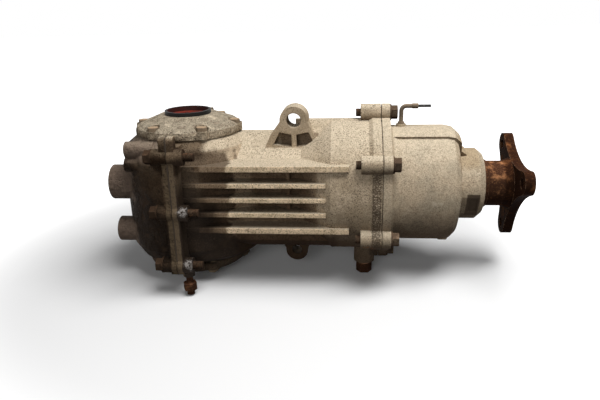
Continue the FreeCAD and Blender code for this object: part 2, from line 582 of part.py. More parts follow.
def final_gears():
    pinion_teeth = int(VALUE["pinion_teeth"])
    ring_teeth = int(VALUE["ring_teeth"])
    pitch = pair_angle(ring_teeth, pinion_teeth)
    outer_cone = VALUE["ring_pitch_radius"] / math.sin(pitch)
    turn = math.radians(VALUE["spiral_turn"])
    solids, root, inner = bevel_gear(ring_teeth, pinion_teeth, outer_cone, VALUE["face_width"], turn, 1, 0.16)
    heel = cone_point(outer_cone, root)
    toe = cone_point(inner, root)
    back = VALUE["ring_back"]
    bore = VALUE["ring_bore"]
    profile = [(bore, back), (heel[0] - 1.5, back), (heel[0], back - 1.5), heel, toe, (bore, toe[1])]
    ring = doc.addObject("Part::Feature", "RingTeeth")
    ring.Shape = gear_solid(solids, profile)
    ring.Placement = Placement(Vector(-VALUE["axle_place"], 0, 0), Rotation(Vector(1, 0, 0), 180))
    holes = []
    for index in range(10):
        angle = f"{36 * index} deg"
        at = (f"-axle_place + ring_bolt_circle * cos({angle})", f"ring_bolt_circle * sin({angle})",
              "-ring_back - 1")
        holes.append(rod("ring_bolt + running_gap", "8", at, "z"))
    node("ring_gear", cut(ring, holes))
    hand_turn = turn * ring_teeth / pinion_teeth
    solids, root, inner = bevel_gear(pinion_teeth, ring_teeth, outer_cone, VALUE["face_width"],
                                     hand_turn, -1, 0.16)
    heel = cone_point(outer_cone, root)
    toe = cone_point(inner, root)
    place_x = VALUE["axle_place"]
    seat = place_x - VALUE["head_bearing_place"] - 1
    shaft = VALUE["head_bearing_bore"]
    tail = VALUE["tail_bearing_bore"]
    step = place_x - VALUE["head_bearing_place"] + VALUE["head_bearing_width"] + 1
    tail_seat = place_x - VALUE["tail_bearing_place"] + 12
    end = place_x - VALUE["stack_start"] + 4
    profile = [(0, toe[1]), toe, heel, (shaft + 3, heel[1] + 0.5), (shaft + 3, seat),
               (shaft, seat), (shaft, step), (tail, step), (tail, tail_seat),
               (tail - 1.5, tail_seat), (tail - 1.5, end), (0, end)]
    pinion = doc.addObject("Part::Feature", "PinionTeeth")
    pinion.Shape = gear_solid(solids, profile)
    half_tooth = math.degrees(math.pi / pinion_teeth)
    along_shaft = Rotation(Vector(0, 1, 0), 90).multiply(Rotation(Vector(0, 0, 1), half_tooth))
    pinion.Placement = Placement(Vector(-place_x, 0, 0), along_shaft)
    node("drive_pinion", pinion)
    spacer = turned([
        ("-head_bearing_place + head_bearing_width + 1", "tail_bearing_bore + press_gap"),
        ("-head_bearing_place + head_bearing_width + 1", "tail_bearing_bore + 4"),
        ("-head_bearing_place + head_bearing_width + 30", "tail_bearing_bore + 5.5"),
        ("-tail_bearing_place - tail_bearing_width - 0.1", "tail_bearing_bore + 4"),
        ("-tail_bearing_place - tail_bearing_width - 0.1", "tail_bearing_bore + press_gap")], "x")
    node("bearing_spacer", spacer)
    blank = fuse([hexagon("tail_bearing_bore + 6", "9", ("-tail_bearing_place + 0.1", 0, 0), "x"),
                  rod("tail_bearing_bore + 6", "2", ("-tail_bearing_place + 0.1", 0, 0), "x")])
    bore = rod("tail_bearing_bore + running_gap", "12", ("-tail_bearing_place - 1", 0, 0), "x")
    node("pinion_nut", cut(blank, [bore]))


def differential_gears():
    side_teeth = int(VALUE["side_teeth"])
    spider_teeth = int(VALUE["spider_teeth"])
    pitch = pair_angle(side_teeth, spider_teeth)
    outer_cone = VALUE["side_pitch_radius"] / math.sin(pitch)
    face = VALUE["side_face"]
    solids, root, inner = bevel_gear(side_teeth, spider_teeth, outer_cone, face, 0, 1, 0.2)
    heel = cone_point(outer_cone, root)
    toe = cone_point(inner, root)
    hub = VALUE["trunnion_radius"] - 3.5
    back = heel[1] + 3.8
    length = VALUE["top_face"] - 18
    for label, turn, bore in (("side_gear_top", Rotation(), VALUE["side_bore"]),
                              ("side_gear_bottom", Rotation(Vector(1, 0, 0), 180), VALUE["lower_side_bore"])):
        profile = [(bore, toe[1] + 2), (toe[0] - 0.5, toe[1]), toe, heel, (heel[0], back), (hub, back),
                   (hub, length), (bore, length)]
        gear = doc.addObject("Part::Feature", "SideGear")
        gear.Shape = gear_solid(solids, profile)
        gear.Placement = Placement(Vector(-VALUE["axle_place"], 0, 0), turn)
        node(label, gear)
    solids, root, inner = bevel_gear(spider_teeth, side_teeth, outer_cone, face, 0, 1, 0.2)
    heel = cone_point(outer_cone, root)
    toe = cone_point(inner, root)
    bore = VALUE["cross_pin_radius"] + VALUE["running_gap"]
    back = heel[1] + 3
    profile = [(bore, toe[1]), toe, heel, (heel[0], back), (bore, back)]
    shape = gear_solid(solids, profile)
    for label, turn in (("spider_gear_near", Rotation(Vector(1, 0, 0), 90)),
                        ("spider_gear_far", Rotation(Vector(1, 0, 0), -90))):
        gear = doc.addObject("Part::Feature", "SpiderGear")
        gear.Shape = shape
        gear.Placement = Placement(Vector(-VALUE["axle_place"], 0, 0),
                                   turn.multiply(Rotation(Vector(0, 0, 1), 90)))
        node(label, gear)


def differential_case():
    axle = ("-axle_place", 0, 0)
    top = "top_face - 24"
    low = "-(bottom_face - 20)"
    body = turned([
        ("trunnion_radius - 3.4", f"{low} - 15"), ("trunnion_radius", f"{low} - 15"),
        ("trunnion_radius", low), ("trunnion_radius + 4.5", low),
        ("trunnion_radius + 4.5", "-ring_back - case_flange"),
        ("ring_pitch_radius - 4", "-ring_back - case_flange"),
        ("ring_pitch_radius - 4", "-ring_back"), ("ring_bore - running_gap", "-ring_back"),
        ("ring_bore - running_gap", "-ring_back + 12"), ("case_radius", "-ring_back + 12"),
        ("case_radius", f"{top} - 8"), ("case_radius - 7", top), ("trunnion_radius + 4.5", top),
        ("trunnion_radius + 4.5", f"{top} + 4"), ("trunnion_radius", f"{top} + 4"),
        ("trunnion_radius", f"{top} + 19"), ("trunnion_radius - 3.4", f"{top} + 19")], "z", axle)
    hollow = ball("case_radius - case_wall", axle)
    pin_hole = rod("cross_pin_radius + running_gap", "case_radius * 3",
                   ("-axle_place", "-case_radius * 1.5", 0), "y")
    windows = block(("case_radius * 3", "30", "34"), ("-axle_place - case_radius * 1.5", "-15", "-17"))
    spine = rod("trunnion_radius - 3.4", "(top_face + bottom_face)", ("-axle_place", 0, "-bottom_face"), "z")
    holes = []
    for index in range(10):
        angle = f"{36 * index} deg"
        at = (f"-axle_place + ring_bolt_circle * cos({angle})", f"ring_bolt_circle * sin({angle})",
              "-ring_back - case_flange - 1")
        holes.append(rod("ring_bolt + 0.3", "case_flange + 2", at, "z"))
    node("differential_case", cut(body, [hollow, pin_hole, windows, spine] + holes))
    pin = rod("cross_pin_radius", "2 * case_radius - 1", ("-axle_place", "-case_radius + 0.5", 0), "y")
    node("cross_pin", pin)
    bolts = []
    for index in range(10):
        angle = f"{36 * index} deg"
        at = (f"-axle_place + ring_bolt_circle * cos({angle})", f"ring_bolt_circle * sin({angle})",
              "-ring_back - case_flange")
        bolts.append(bolt(at, "z", "ring_bolt", "case_flange + 5", "ring_bolt + 3", "4"))
    node("ring_gear_bolts", group(bolts))


def tapered_bearing(at, axis, outer, bore, width):
    """Cup, cone and rollers of a tapered roller bearing with the wide end at the point."""
    forward = "-" if axis.startswith("-") else ""
    letter = axis[-1]
    index = "xyz".index(letter)

    def along(distance):
        spot = list(at)
        spot[index] = f"{at[index]} {'-' if forward else '+'} ({distance})"
        return tuple(spot)

    span = f"({outer} - {bore})"
    cup = cut(rod(f"{outer} - press_gap", width, at, axis),
              [taper(f"{outer} - 0.14 * {span}", f"{outer} - 0.34 * {span}", f"{width} + 0.2",
                     along("-0.1"), axis)])
    cone = cut(taper(f"{bore} + 0.42 * {span}", f"{bore} + 0.24 * {span}", width, at, axis),
               [rod(f"{bore} + press_gap", f"{width} + 2", along("-1"), axis)])
    lean = math.atan2(0.19 * number(span), number(width))
    rollers = []
    count = int(VALUE["roller_count"])
    for step in range(count):
        angle = 360.0 / count * step
        roller = doc.addObject("Part::Cone", "Roller")
        bind(roller, "Radius1", f"0.19 * {span}")
        bind(roller, "Radius2", f"0.165 * {span}")
        bind(roller, "Height", f"{width} * 0.7")
        tilt = Rotation(Vector(0, 1, 0), -math.degrees(lean) * 0.95)
        spin = Rotation(Vector(0, 0, 1), angle).multiply(tilt)
        roller.Placement = Placement(Vector(), ALONG[axis].multiply(spin))
        start = ALONG[axis].multVec(Vector(math.cos(math.radians(angle)), math.sin(math.radians(angle)), 0))
        lift = ALONG[axis].multVec(Vector(0, 0, 1))
        for name, text, out, rise in zip("xyz", at, start, lift):
            bind(roller, f"Placement.Base.{name}",
                 f"{text} + ({bore} + 0.587 * {span}) * {round(out, 6)} + {width} * 0.15 * {round(rise, 6)}")
        rollers.append(roller)
    return cup, cone, group(rollers)


def bearings():
    head = tapered_bearing(("-head_bearing_place", 0, 0), "x", "head_bearing_outer",
                           "head_bearing_bore", "head_bearing_width")
    tail = tapered_bearing(("-tail_bearing_place", 0, 0), "-x", "tail_bearing_outer",
                           "tail_bearing_bore", "tail_bearing_width")
    node("pinion_bearing_cups", group([head[0], tail[0]]))
    node("pinion_bearing_cones", group([head[1], tail[1]]))
    node("pinion_bearing_rollers", group([head[2], tail[2]]))
    top = tapered_bearing(("-axle_place", 0, "top_face - 20"), "z", "side_bearing_outer",
                          "trunnion_radius", "side_bearing_width")
    low = tapered_bearing(("-axle_place", 0, "-(bottom_face - 20)"), "-z", "side_bearing_outer",
                          "trunnion_radius", "side_bearing_width")
    node("side_bearing_cups", group([top[0], low[0]]))
    node("side_bearing_cones", group([top[1], low[1]]))
    node("side_bearing_rollers", group([top[2], low[2]]))


def housing_outer(radius):
    """Drum round the ring gear and the eared plate, split later at the axle axis."""
    axle = ("-axle_place", 0, 0)
    drum = turned([
        ("0", "-bottom_face"), ("retainer_radius - 4", "-bottom_face"), (f"{radius} - 8", "-bottom_face + 6"),
        (radius, "-bottom_face + 20"), (radius, "top_face - 22"),
        (f"{radius} - 4", "top_face - 11"), ("retainer_radius - 3", "top_face"),
        ("0", "top_face")], "z", axle)
    plate = padded([
        ("-flange_half_width", "-flange_bottom"), ("flange_half_width", "-flange_bottom"),
        ("flange_half_width", "ear_height - 3"), ("flange_half_width - 3", "ear_height"),
        ("flange_half_width - ear_width", "ear_height"), ("flange_half_width - ear_width", "flange_top"),
        ("-flange_half_width + ear_width", "flange_top"), ("-flange_half_width + ear_width", "ear_height"),
        ("-flange_half_width + 3", "ear_height"), ("-flange_half_width", "ear_height - 3")],
        "YZ_Plane", "2 * rear_flange_thick", ("-axle_place", 0, 0), True)
    return drum, plate


def through_spots():
    spots = []
    for side in (-1, 1):
        for z in ("flange_top - 7", "-7", "-flange_bottom + 8.5"):
            spots.append((f"{side} * through_place", z))
    return spots


def housing_cavity(radius):
    """Room for the ring gear and the side-bearing bores, inside a drum of the given radius."""
    axle = ("-axle_place", 0, 0)
    return turned([
        ("0", "-bottom_face - 1"), ("side_bearing_outer", "-bottom_face - 1"),
        ("side_bearing_outer", "-bottom_face + 20"), ("side_bearing_outer - 4", "-bottom_face + 20"),
        ("side_bearing_outer - 4", "-bottom_face + 24"), (f"{radius} - housing_wall", "-bottom_face + 24"),
        (f"{radius} - housing_wall", "top_face - 24"), ("side_bearing_outer - 4", "top_face - 24"),
        ("side_bearing_outer - 4", "top_face - 20"), ("side_bearing_outer", "top_face - 20"),
        ("side_bearing_outer", "top_face + 1"), ("0", "top_face + 1")], "z", axle)


def half_space(side):
    """Block that keeps the carrier (side 1) or the cover (side -1) of the split plane."""
    if side > 0:
        return block(("360", "300", "400"), ("-axle_place + gasket_thick / 2", "-150", "-200"))
    return block(("200", "300", "400"), ("-axle_place - gasket_thick / 2 - 200", "-150", "-200"))


def retainer_spots():
    spots = []
    for index in range(6):
        angle = 60 * index
        spots.append((f"-axle_place + retainer_circle * cos({angle} deg)",
                      f"retainer_circle * sin({angle} deg)"))
    return spots


def retainer_holes():
    tools = []
    for x, y in retainer_spots():
        tools.append(rod("retainer_bolt + running_gap", "16", (x, y, "top_face - 15"), "z"))
        tools.append(rod("retainer_bolt + running_gap", "16", (x, y, "-bottom_face - 1"), "z"))
    return tools


def rear_cover():
    drum, plate = housing_outer("housing_radius")
    bosses = []
    for y, z in through_spots():
        bosses.append(rod("through_boss", "boss_reach", ("-axle_place - boss_reach", y, z), "x"))
    big_back = "-axle_place - housing_radius - big_boss_reach"
    small_back = "-axle_place - housing_radius - small_boss_reach"
    filler_back = "-axle_place - housing_radius - filler_reach"
    rears = fuse([rod("big_boss", "34", (big_back, "-boss_side", "big_boss_height"), "x"),
                  rod("small_boss", "40", (small_back, "-boss_side", "small_boss_height"), "x"),
                  rod("filler_boss", "16", (filler_back, "filler_side", "filler_height"), "x")])
    knobs = fuse([rod("knob_radius", "30", ("-axle_place - knob_reach", "-knob_side", "knob_height"), "x"),
                  rod("knob_radius - 1", "30", ("-axle_place - knob_reach - 1", "-knob_side - 2",
                                                "knob_height - knob_drop"), "x"),
                  rod("knob_radius", "30", ("-axle_place - knob_reach", "knob_side", "knob_height"), "x")])
    outer = fuse([drum, plate, rears, knobs] + bosses)
    holes = [rod("through_bolt + 0.5", "40", ("-axle_place - 30", y, z), "x") for y, z in through_spots()]
    big_spot = (f"{big_back} - 1", "-boss_side", "big_boss_height")
    small_spot = (f"{small_back} - 1", "-boss_side", "small_boss_height")
    filler_spot = (f"{filler_back} - 1", "filler_side", "filler_height")
    threads = [rod("big_boss_thread", "thread_depth + 1", big_spot, "x"),
               rod("small_boss_thread", "thread_depth", small_spot, "x"),
               rod("filler_thread + running_gap", "30", filler_spot, "x")]
    shell = cut(outer, [housing_cavity("housing_radius")] + holes + threads + retainer_holes())
    node("rear_cover", common([shell, half_space(-1)]))
    drum2, plate2 = housing_outer("housing_radius")
    slab = block(("gasket_thick", "300", "400"), ("-axle_place - gasket_thick / 2", "-150", "-200"))
    sheet_holes = [rod("through_bolt + 0.8", "40", ("-axle_place - 30", y, z), "x")
                   for y, z in through_spots()]
    sheet_tools = [housing_cavity("housing_radius")] + sheet_holes + retainer_holes()
    sheet_body = cut(fuse([drum2, plate2]), sheet_tools)
    node("rear_cover_gasket", common([sheet_body, slab]))
    bolts = []
    for y, z in through_spots():
        at = ("-axle_place - boss_reach", y, z)
        bolts.append(fuse([bolt(at, "x", "through_bolt", "boss_reach * 2 + 10", "through_bolt + 3.2", "8"),
                           rod("through_bolt + 4.2", "1.6", at, "-x")]))
    node("rear_cover_bolts", group(bolts))
    filler = fuse([rod("filler_thread", "10", (filler_back, "filler_side", "filler_height"), "x"),
                   hexagon("filler_thread + 2", "6", (filler_back, "filler_side", "filler_height"), "-x")])
    node("filler_plug", filler)


def waist_body():
    """Neck of the casting: round below, with a gabled top that carries the ridge."""
    length = f"axle_place - {BELL_END} + bell_cone"
    round_part = rod("waist_radius", length, ("-axle_place", 0, "-waist_drop"), "x")
    gable = padded([
        ("-waist_half_width", "-80"), ("waist_half_width", "-80"), ("waist_half_width", "gable_shoulder"),
        ("gable_ridge", "gable_top"), ("-gable_ridge", "gable_top"), ("-waist_half_width", "gable_shoulder")],
        "YZ_Plane", length, ("-axle_place", 0, 0))
    return common([round_part, gable])


def carrier_ribs():
    ribs = []
    for height, end, thick in (("top_rib", "long_rib_end", "edge_rib_thick"),
                               ("upper_rib", "short_rib_end", "rib_thick"),
                               ("middle_rib", "short_rib_end", "rib_thick"),
                               ("lower_rib", "short_rib_end", "rib_thick"),
                               ("bottom_rib", "long_rib_end", "edge_rib_thick")):
        ribs.append(block((f"axle_place - {end}", "2 * rib_reach", thick),
                          ("-axle_place", "-rib_reach", f"{height} - {thick} / 2")))
    ribs.append(block(("cross_rib_thick", "2 * cross_rib_reach", "top_rib - lower_rib"),
                      ("-cross_rib_place", "-cross_rib_reach", "lower_rib")))
    ribs.append(padded([
        ("-gable_ridge + 1.5", "ridge_height"), ("gable_ridge - 1.5", "ridge_height"),
        ("gable_ridge * 4", "ridge_foot"), ("-gable_ridge * 4", "ridge_foot")],
        "YZ_Plane", f"lug_place - {JOINT} - 6", ("-lug_place", 0, 0)))
    return ribs


def mounting_lugs():
    """Upper and lower lug, each a boss on a spread web."""
    back = (0, "-lug_front + lug_width", 0)
    upper = padded([
        ("-lug_place - lug_leg", "lug_foot"), ("-lug_place + lug_leg - 8", "lug_foot"),
        ("-lug_place + lug_shoulder", "gable_top - 6"), ("-lug_place + lug_radius * 0.92", "lug_height"),
        ("-lug_place - lug_radius * 0.92", "lug_height"), ("-lug_place - lug_shoulder", "gable_top + 1")],
        "XZ_Plane", "lug_width", back)
    upper_boss = rod("lug_radius", "lug_width", ("-lug_place", "-lug_front", "lug_height"), "y")
    lower = padded([
        ("-lug_place - lower_lug_leg", "-45"), ("-lug_place - lower_lug_radius * 0.9", "-lower_lug"),
        ("-lug_place + lower_lug_radius * 0.9", "-lower_lug"), ("-lug_place + lower_lug_leg", "-45")],
        "XZ_Plane", "lug_width", back)
    lower_boss = rod("lower_lug_radius", "lug_width", ("-lug_place", "-lug_front", "-lower_lug"), "y")
    return [upper, upper_boss, lower, lower_boss]


def lug_cuts():
    """Bores of both lugs and the two pockets under the upper boss."""
    start = "-lug_front - 1"
    cuts = [rod("lug_hole", "lug_width + 2", ("-lug_place", start, "lug_height"), "y"),
            rod("lug_hole - 2", "lug_width + 2", ("-lug_place", start, "-lower_lug"), "y")]
    for side in (-1, 1):
        cuts.append(padded([
            (f"-lug_place + {side} * 2.5", "lug_height - lug_radius"),
            (f"-lug_place + {side} * 15", "lug_height - lug_radius + 2.5"),
            (f"-lug_place + {side} * 21.5", "pocket_low + 2.5"),
            (f"-lug_place + {side} * 2.5", "pocket_low")],
            "XZ_Plane", "pocket_depth + 1", (0, "-lug_front + pocket_depth", 0)))
    return cuts


def carrier_case():
    drum, plate = housing_outer("carrier_radius")
    joint = f"-{JOINT} - gasket_thick / 2"
    ring_back = f"-{JOINT} - ring_thick"
    bell = turned([
        (f"-{BELL_END} - bell_cone", "0"), (f"-{BELL_END} - bell_cone", "waist_half_width + 4"),
        (f"-{BELL_END}", "bell_radius"), (f"{ring_back} - 4", "bell_radius"), (ring_back, "ring_radius"),
        (joint, "ring_radius"), (joint, "0")], "x")
    neck = taper("waist_radius - 1.5", "waist_half_width - 4", "62",
                 ("-axle_place + 20", 0, "-waist_drop"), "x")
    low_neck = turned([
        ("0", "-bottom_face + 1"), ("49", "-bottom_face + 1"),
        ("61", "-bottom_face + 9"), ("61", "0"), ("0", "0")],
        "z", ("-axle_place + 12", 0, 0))
    core = fuse([drum, plate, bell, waist_body(), neck, low_neck])
    pieces = [fuse([core] + carrier_ribs())] + mounting_lugs()
    pieces.append(block(("6", "6", "6"), (f"{ring_back} + 1", "-ring_radius - 1.5", "-6")))
    for y, z in round_spots(6, "joint_circle"):
        pieces.append(rod("joint_boss", "ring_thick + 12 - gasket_thick / 2",
                          (f"{ring_back} - 12", y, z), "x"))
    for y, z in through_spots():
        pieces.append(rod("through_boss", "boss_reach", ("-axle_place", y, z), "x"))
    pieces.append(rod("11", "drain_drop + 8",
                      (f"{ring_back} - 7", "-drain_side", "-bell_radius - drain_drop"), "z"))
    pieces.append(rod("6", "12", ("-axle_place + 9", "-flange_half_width + 7", "-flange_bottom - 4"), "z"))
    outer = build_up(pieces)
    cavity = turned([
        (f"-{JOINT} + 1", "0"), (f"-{JOINT} + 1", "can_radius - can_wall"),
        ("-coil_front - 2", "can_radius - can_wall"), ("-coil_front - 2", "coil_outer + press_gap"),
        ("-coil_front - coil_length", "coil_outer + press_gap"),
        ("-coil_front - coil_length", "tail_bearing_bore + 12"),
        ("-tail_bearing_place", "tail_bearing_bore + 12"), ("-tail_bearing_place", "tail_bearing_outer"),
        ("-tail_bearing_place - tail_bearing_width", "tail_bearing_outer"),
        ("-tail_bearing_place - tail_bearing_width", "tail_bearing_outer - 4"),
        ("-tail_bearing_place - tail_bearing_width - 5", "tail_bearing_outer - 4"),
        ("-tail_bearing_place - tail_bearing_width - 8", "waist_half_width - waist_wall"),
        ("-head_bearing_place + head_bearing_width + 8", "waist_half_width - waist_wall"),
        ("-head_bearing_place + head_bearing_width + 5", "head_bearing_outer - 4"),
        ("-head_bearing_place + head_bearing_width", "head_bearing_outer - 4"),
        ("-head_bearing_place + head_bearing_width", "head_bearing_outer"),
        ("-axle_place", "head_bearing_outer"), ("-axle_place", "0")], "x")
    tools = [housing_cavity("carrier_radius"), cavity] + lug_cuts()
    for y, z in round_spots(6, "joint_circle"):
        tools.append(rod("joint_bolt + running_gap", "40", (f"{ring_back} - 20", y, z), "x"))
    for y, z in round_spots(2, "joint_circle - 12", 30):
        tools.append(rod("3 + running_gap", "7", (f"-{JOINT} - 6", y, z), "x"))
    for y, z in through_spots():
        tools.append(rod("through_bolt + running_gap", "60", ("-axle_place - 30", y, z), "x"))
    drain_spot = (f"{ring_back} - 7", "-drain_side", "-bell_radius - drain_drop - 1")
    tools.append(rod("5 + running_gap", "drain_drop + 8", drain_spot, "z"))
    tools.extend(retainer_holes())
    shell = cut(outer, tools)
    node("carrier_case", common([shell, half_space(1)]))
    plug_spot = (f"{ring_back} - 7", "-drain_side", "-bell_radius - drain_drop - 2")
    plug = fuse([rod("5", "14", plug_spot, "z"), hexagon("8.5", "11", plug_spot, "-z")])
    node("drain_plug", plug)
    washer = cut(rod("8", "1.9", (plug_spot[0], plug_spot[1], f"{plug_spot[2]} + running_gap"), "z"),
                 [rod("5.1", "4", (plug_spot[0], plug_spot[1], f"{plug_spot[2]} - 1"), "z")])
    node("drain_plug_washer", washer)
    stud_place = ("-axle_place + 9", "-flange_half_width + 7", "-flange_bottom - 12")
    stud = fuse([rod("3.6", "8", stud_place, "z"), hexagon("7", "8", stud_place, "-z"),
                 rod("4", "6", (stud_place[0], stud_place[1], f"{stud_place[2]} - 13"), "z")])
    node("lower_stud", stud)


def retainers():
    axle = ("-axle_place", 0, 0)
    labels = (("top_bearing_retainer", "output_seal_top", "z", "top_face"),
              ("bottom_bearing_retainer", "output_seal_bottom", "-z", "bottom_face"))
    bolts = []
    for label, seal_label, axis, face in labels:
        base = ("-axle_place", 0, face if axis == "z" else f"-{face}")
        flip = Rotation() if axis == "z" else Rotation(Vector(1, 0, 0), 180)
        body = turned([
            ("side_bearing_outer - 5", "-3.9"), ("side_bearing_outer - press_gap", "-3.9"),
            ("side_bearing_outer - press_gap", "0"), ("retainer_radius", "0"),
            ("retainer_radius", "retainer_plate - 3"), ("retainer_radius - 1", "retainer_plate"),
            ("retainer_radius - 5", "retainer_plate + 3"), ("retainer_radius - 13", "retainer_plate + 6"),
            ("seal_radius + 12", "retainer_plate + dome_height - 2.5"),
            ("seal_radius + 6", "retainer_plate + dome_height"),
            ("seal_radius", "retainer_plate + dome_height"),
            ("seal_radius", "retainer_plate + dome_height + seal_proud - seal_width"),
            ("seal_radius - 3", "retainer_plate + dome_height + seal_proud - seal_width"),
            ("seal_radius - 3", "0"), ("side_bearing_outer - 5", "0")], "z", base, turn=flip)
        lobes = []
        holes = []
        for x, y in retainer_spots():
            lobes.append(rod("8", "retainer_plate + 1", (x, y, base[2]), axis))
            holes.append(rod("retainer_bolt + 0.3", "20", (x, y, f"{base[2]} - 10"), "z"))
            head = f"{base[2]} + 7" if axis == "z" else f"{base[2]} - 7"
            holes.append(rod("7", "12", (x, y, head), axis))
            opposite = "-z" if axis == "z" else "z"
            bolts.append(bolt((x, y, head), opposite, "retainer_bolt", "20", "retainer_bolt + 2.3", "4.5"))
        node(label, cut(fuse([body] + lobes), holes))
        rim = "retainer_plate + dome_height + seal_proud"
        seal = turned([
            ("seal_radius - 2.5", f"{rim} - seal_width + 0.1"),
            ("seal_radius - press_gap", f"{rim} - seal_width + 0.1"),
            ("seal_radius - press_gap", rim), ("seal_radius - 2.5", rim),
            ("seal_radius - 2.5", f"{rim} - 5"), ("seal_lip", f"{rim} - 6"), ("seal_lip", f"{rim} - 7.5"),
            ("seal_radius - 2.5", f"{rim} - 7.5")], "z", base, turn=flip)
        node(seal_label, seal)
    node("retainer_bolts", group(bolts))


def write_parts():
    doc.recompute()
    for item in doc.Objects:
        if "Invalid" in item.State or "Error" in item.State:
            raise RuntimeError(f"{item.Name} ({item.Label}) failed: {item.State}")
    for item in NODES:
        if item.Shape.isNull() or not item.Shape.isValid() or not item.Shape.Solids:
            raise RuntimeError(f"{item.Label} has no valid solid")
    os.makedirs("parts", exist_ok=True)
    for item in NODES:
        item.Shape.exportStep(os.path.join("parts", f"{item.Label}.step"))
        box = item.Shape.BoundBox
        print(f"{item.Label}: {len(item.Shape.Solids)} solids, {item.Shape.Volume:.0f} mm3, "
              f"x {box.XMin:.1f} {box.XMax:.1f} y {box.YMin:.1f} {box.YMax:.1f} z {box.ZMin:.1f} {box.ZMax:.1f}")


companion_flange()
input_shaft()
front_bearing()
coupling_cover()
breather()
clutch()
final_gears()
differential_gears()
differential_case()
bearings()
rear_cover()
carrier_case()
retainers()
write_parts()
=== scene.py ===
import json
import math

import bpy
import mathutils
from mathutils import Matrix, Vector

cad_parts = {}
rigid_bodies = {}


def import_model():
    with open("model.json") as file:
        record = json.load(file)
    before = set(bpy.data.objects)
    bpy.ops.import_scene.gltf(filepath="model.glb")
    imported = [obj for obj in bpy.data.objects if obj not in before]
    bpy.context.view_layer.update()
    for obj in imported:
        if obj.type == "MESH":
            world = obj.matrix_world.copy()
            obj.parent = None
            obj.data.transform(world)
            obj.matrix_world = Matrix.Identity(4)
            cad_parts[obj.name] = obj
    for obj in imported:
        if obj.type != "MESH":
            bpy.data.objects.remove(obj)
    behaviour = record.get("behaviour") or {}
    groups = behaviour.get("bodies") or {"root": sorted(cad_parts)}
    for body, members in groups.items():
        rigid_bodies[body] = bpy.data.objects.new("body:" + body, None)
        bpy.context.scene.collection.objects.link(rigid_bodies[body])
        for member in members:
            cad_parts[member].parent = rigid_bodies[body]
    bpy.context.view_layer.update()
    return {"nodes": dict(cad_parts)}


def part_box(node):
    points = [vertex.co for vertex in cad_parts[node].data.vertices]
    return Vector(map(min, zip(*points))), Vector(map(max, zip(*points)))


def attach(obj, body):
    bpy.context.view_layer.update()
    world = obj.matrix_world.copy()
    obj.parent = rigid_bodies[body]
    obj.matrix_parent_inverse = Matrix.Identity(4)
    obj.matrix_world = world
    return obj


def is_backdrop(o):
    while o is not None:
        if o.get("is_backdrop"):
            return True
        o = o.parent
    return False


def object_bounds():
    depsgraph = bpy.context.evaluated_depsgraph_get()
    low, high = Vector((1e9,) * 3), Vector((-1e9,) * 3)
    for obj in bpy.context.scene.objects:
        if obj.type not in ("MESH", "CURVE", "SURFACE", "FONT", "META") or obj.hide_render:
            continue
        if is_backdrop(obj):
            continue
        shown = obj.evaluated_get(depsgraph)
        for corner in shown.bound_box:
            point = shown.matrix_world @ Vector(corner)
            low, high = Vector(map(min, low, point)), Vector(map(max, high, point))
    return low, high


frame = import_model()

bl_info = {
    "name": "Rear differential finish",
    "version": (1, 0, 0),
    "blender": (4, 5, 0),
    "location": "View3D > Sidebar > Differential",
    "description": "Gives the packed rear differential its castings, rust, seals and stage",
    "category": "Object",
}


def middle_x(node):
    low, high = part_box(node)
    return (low[0] + high[0]) / 2.0


# Place of the axle axis along the pinion axis
AXLE_X = middle_x("output_seal_top")
# Joints with a sealant bead: bead, sheet whose outline it follows, centre in Y and Z, and half width of the
# gap that the axle bore leaves in the sheet
BEAD_JOINTS = (("rear_joint_bead", "rear_cover_gasket", (0.0, -0.0065), 0.0360),
               ("coupling_joint_bead", "coupling_gasket", (0.0, 0.0), 0.0))
BEAD_RADIUS = 0.0008
# Darkness of the crevices between dirt clods, for each metre that the clods are thick
CREVICE_SHARE = 100.0
# The axle seals change from black rim to red lip between these radii
RIM_RADIUS, LIP_RADIUS = 0.0222, 0.0215
# Open ends of the rear cover's through bolts: where the thread begins along X, distance from the middle and
# length of the thread, then the heights of the bolts
THROUGH_BOLT_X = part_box("rear_cover_bolts")[1][0] - 0.0102
THROUGH_BOLT_Y, THROUGH_THREAD = 0.080, 0.0095
THROUGH_BOLT_HEIGHTS = (0.0500, -0.0070, -0.0635)
# Open ends of the coupling cover's bolts: where the thread begins along X, radius of their circle and length
# of the thread
COUPLING_BOLT_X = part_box("coupling_cover_bolts")[0][0] + 0.0003
COUPLING_BOLT_CIRCLE, COUPLING_THREAD = 0.077, 0.0045
BOLT_RADIUS = 0.0040

# Stain and oil that end here leave a casting clean
CLEAN_EDGE = -0.60

# Places where a casting is darker or paler, on both sides of it: setting, back and front along X, inner and
# outer distance across Y, bottom and top along Z, softness and raggedness of the edge
# The gap rows paint shade into the gaps between the ribs, the below shade row paints shade under the
# carrier, and the rib edge rows paint a highlight over the worn rib fronts
CARRIER_TINTS = (("gap_side_shade", -0.330, -0.2080, 0.030, 0.0650, -0.0310, 0.0312, 0.004, 0.002),
                 ("gap_shade", -0.284, -0.2080, 0.030, 0.0650, -0.0310, 0.0312, 0.012, 0.004),
                 ("below_shade", -0.305, -0.185, 0.015, 0.080, -0.110, -0.035, 0.010, 0.006),
                 ("bar_shade", -0.3640, -0.3180, 0.040, 0.090, 0.040, 0.070, 0.010, 0.010),
                 ("rib_wear_and_highlight", -0.3305, -0.2002, 0.0674, 0.0700, -0.036, 0.038, 0.0005, 0.0),
                 ("rib_wear_and_highlight", -0.2005, -0.176, 0.0674, 0.0700, -0.036, -0.028, 0.0005, 0.0),
                 ("rib_wear_and_highlight", -0.2005, -0.176, 0.0674, 0.0700, 0.029, 0.038, 0.0005, 0.0),
                 ("bar_shade", -0.3600, -0.322, 0.066, 0.110, 0.030, 0.072, 0.004, 0.006))
REAR_COVER_TINTS = (("bar_shade", -0.380, -0.349, 0.066, 0.110, 0.030, 0.072, 0.004, 0.006),)
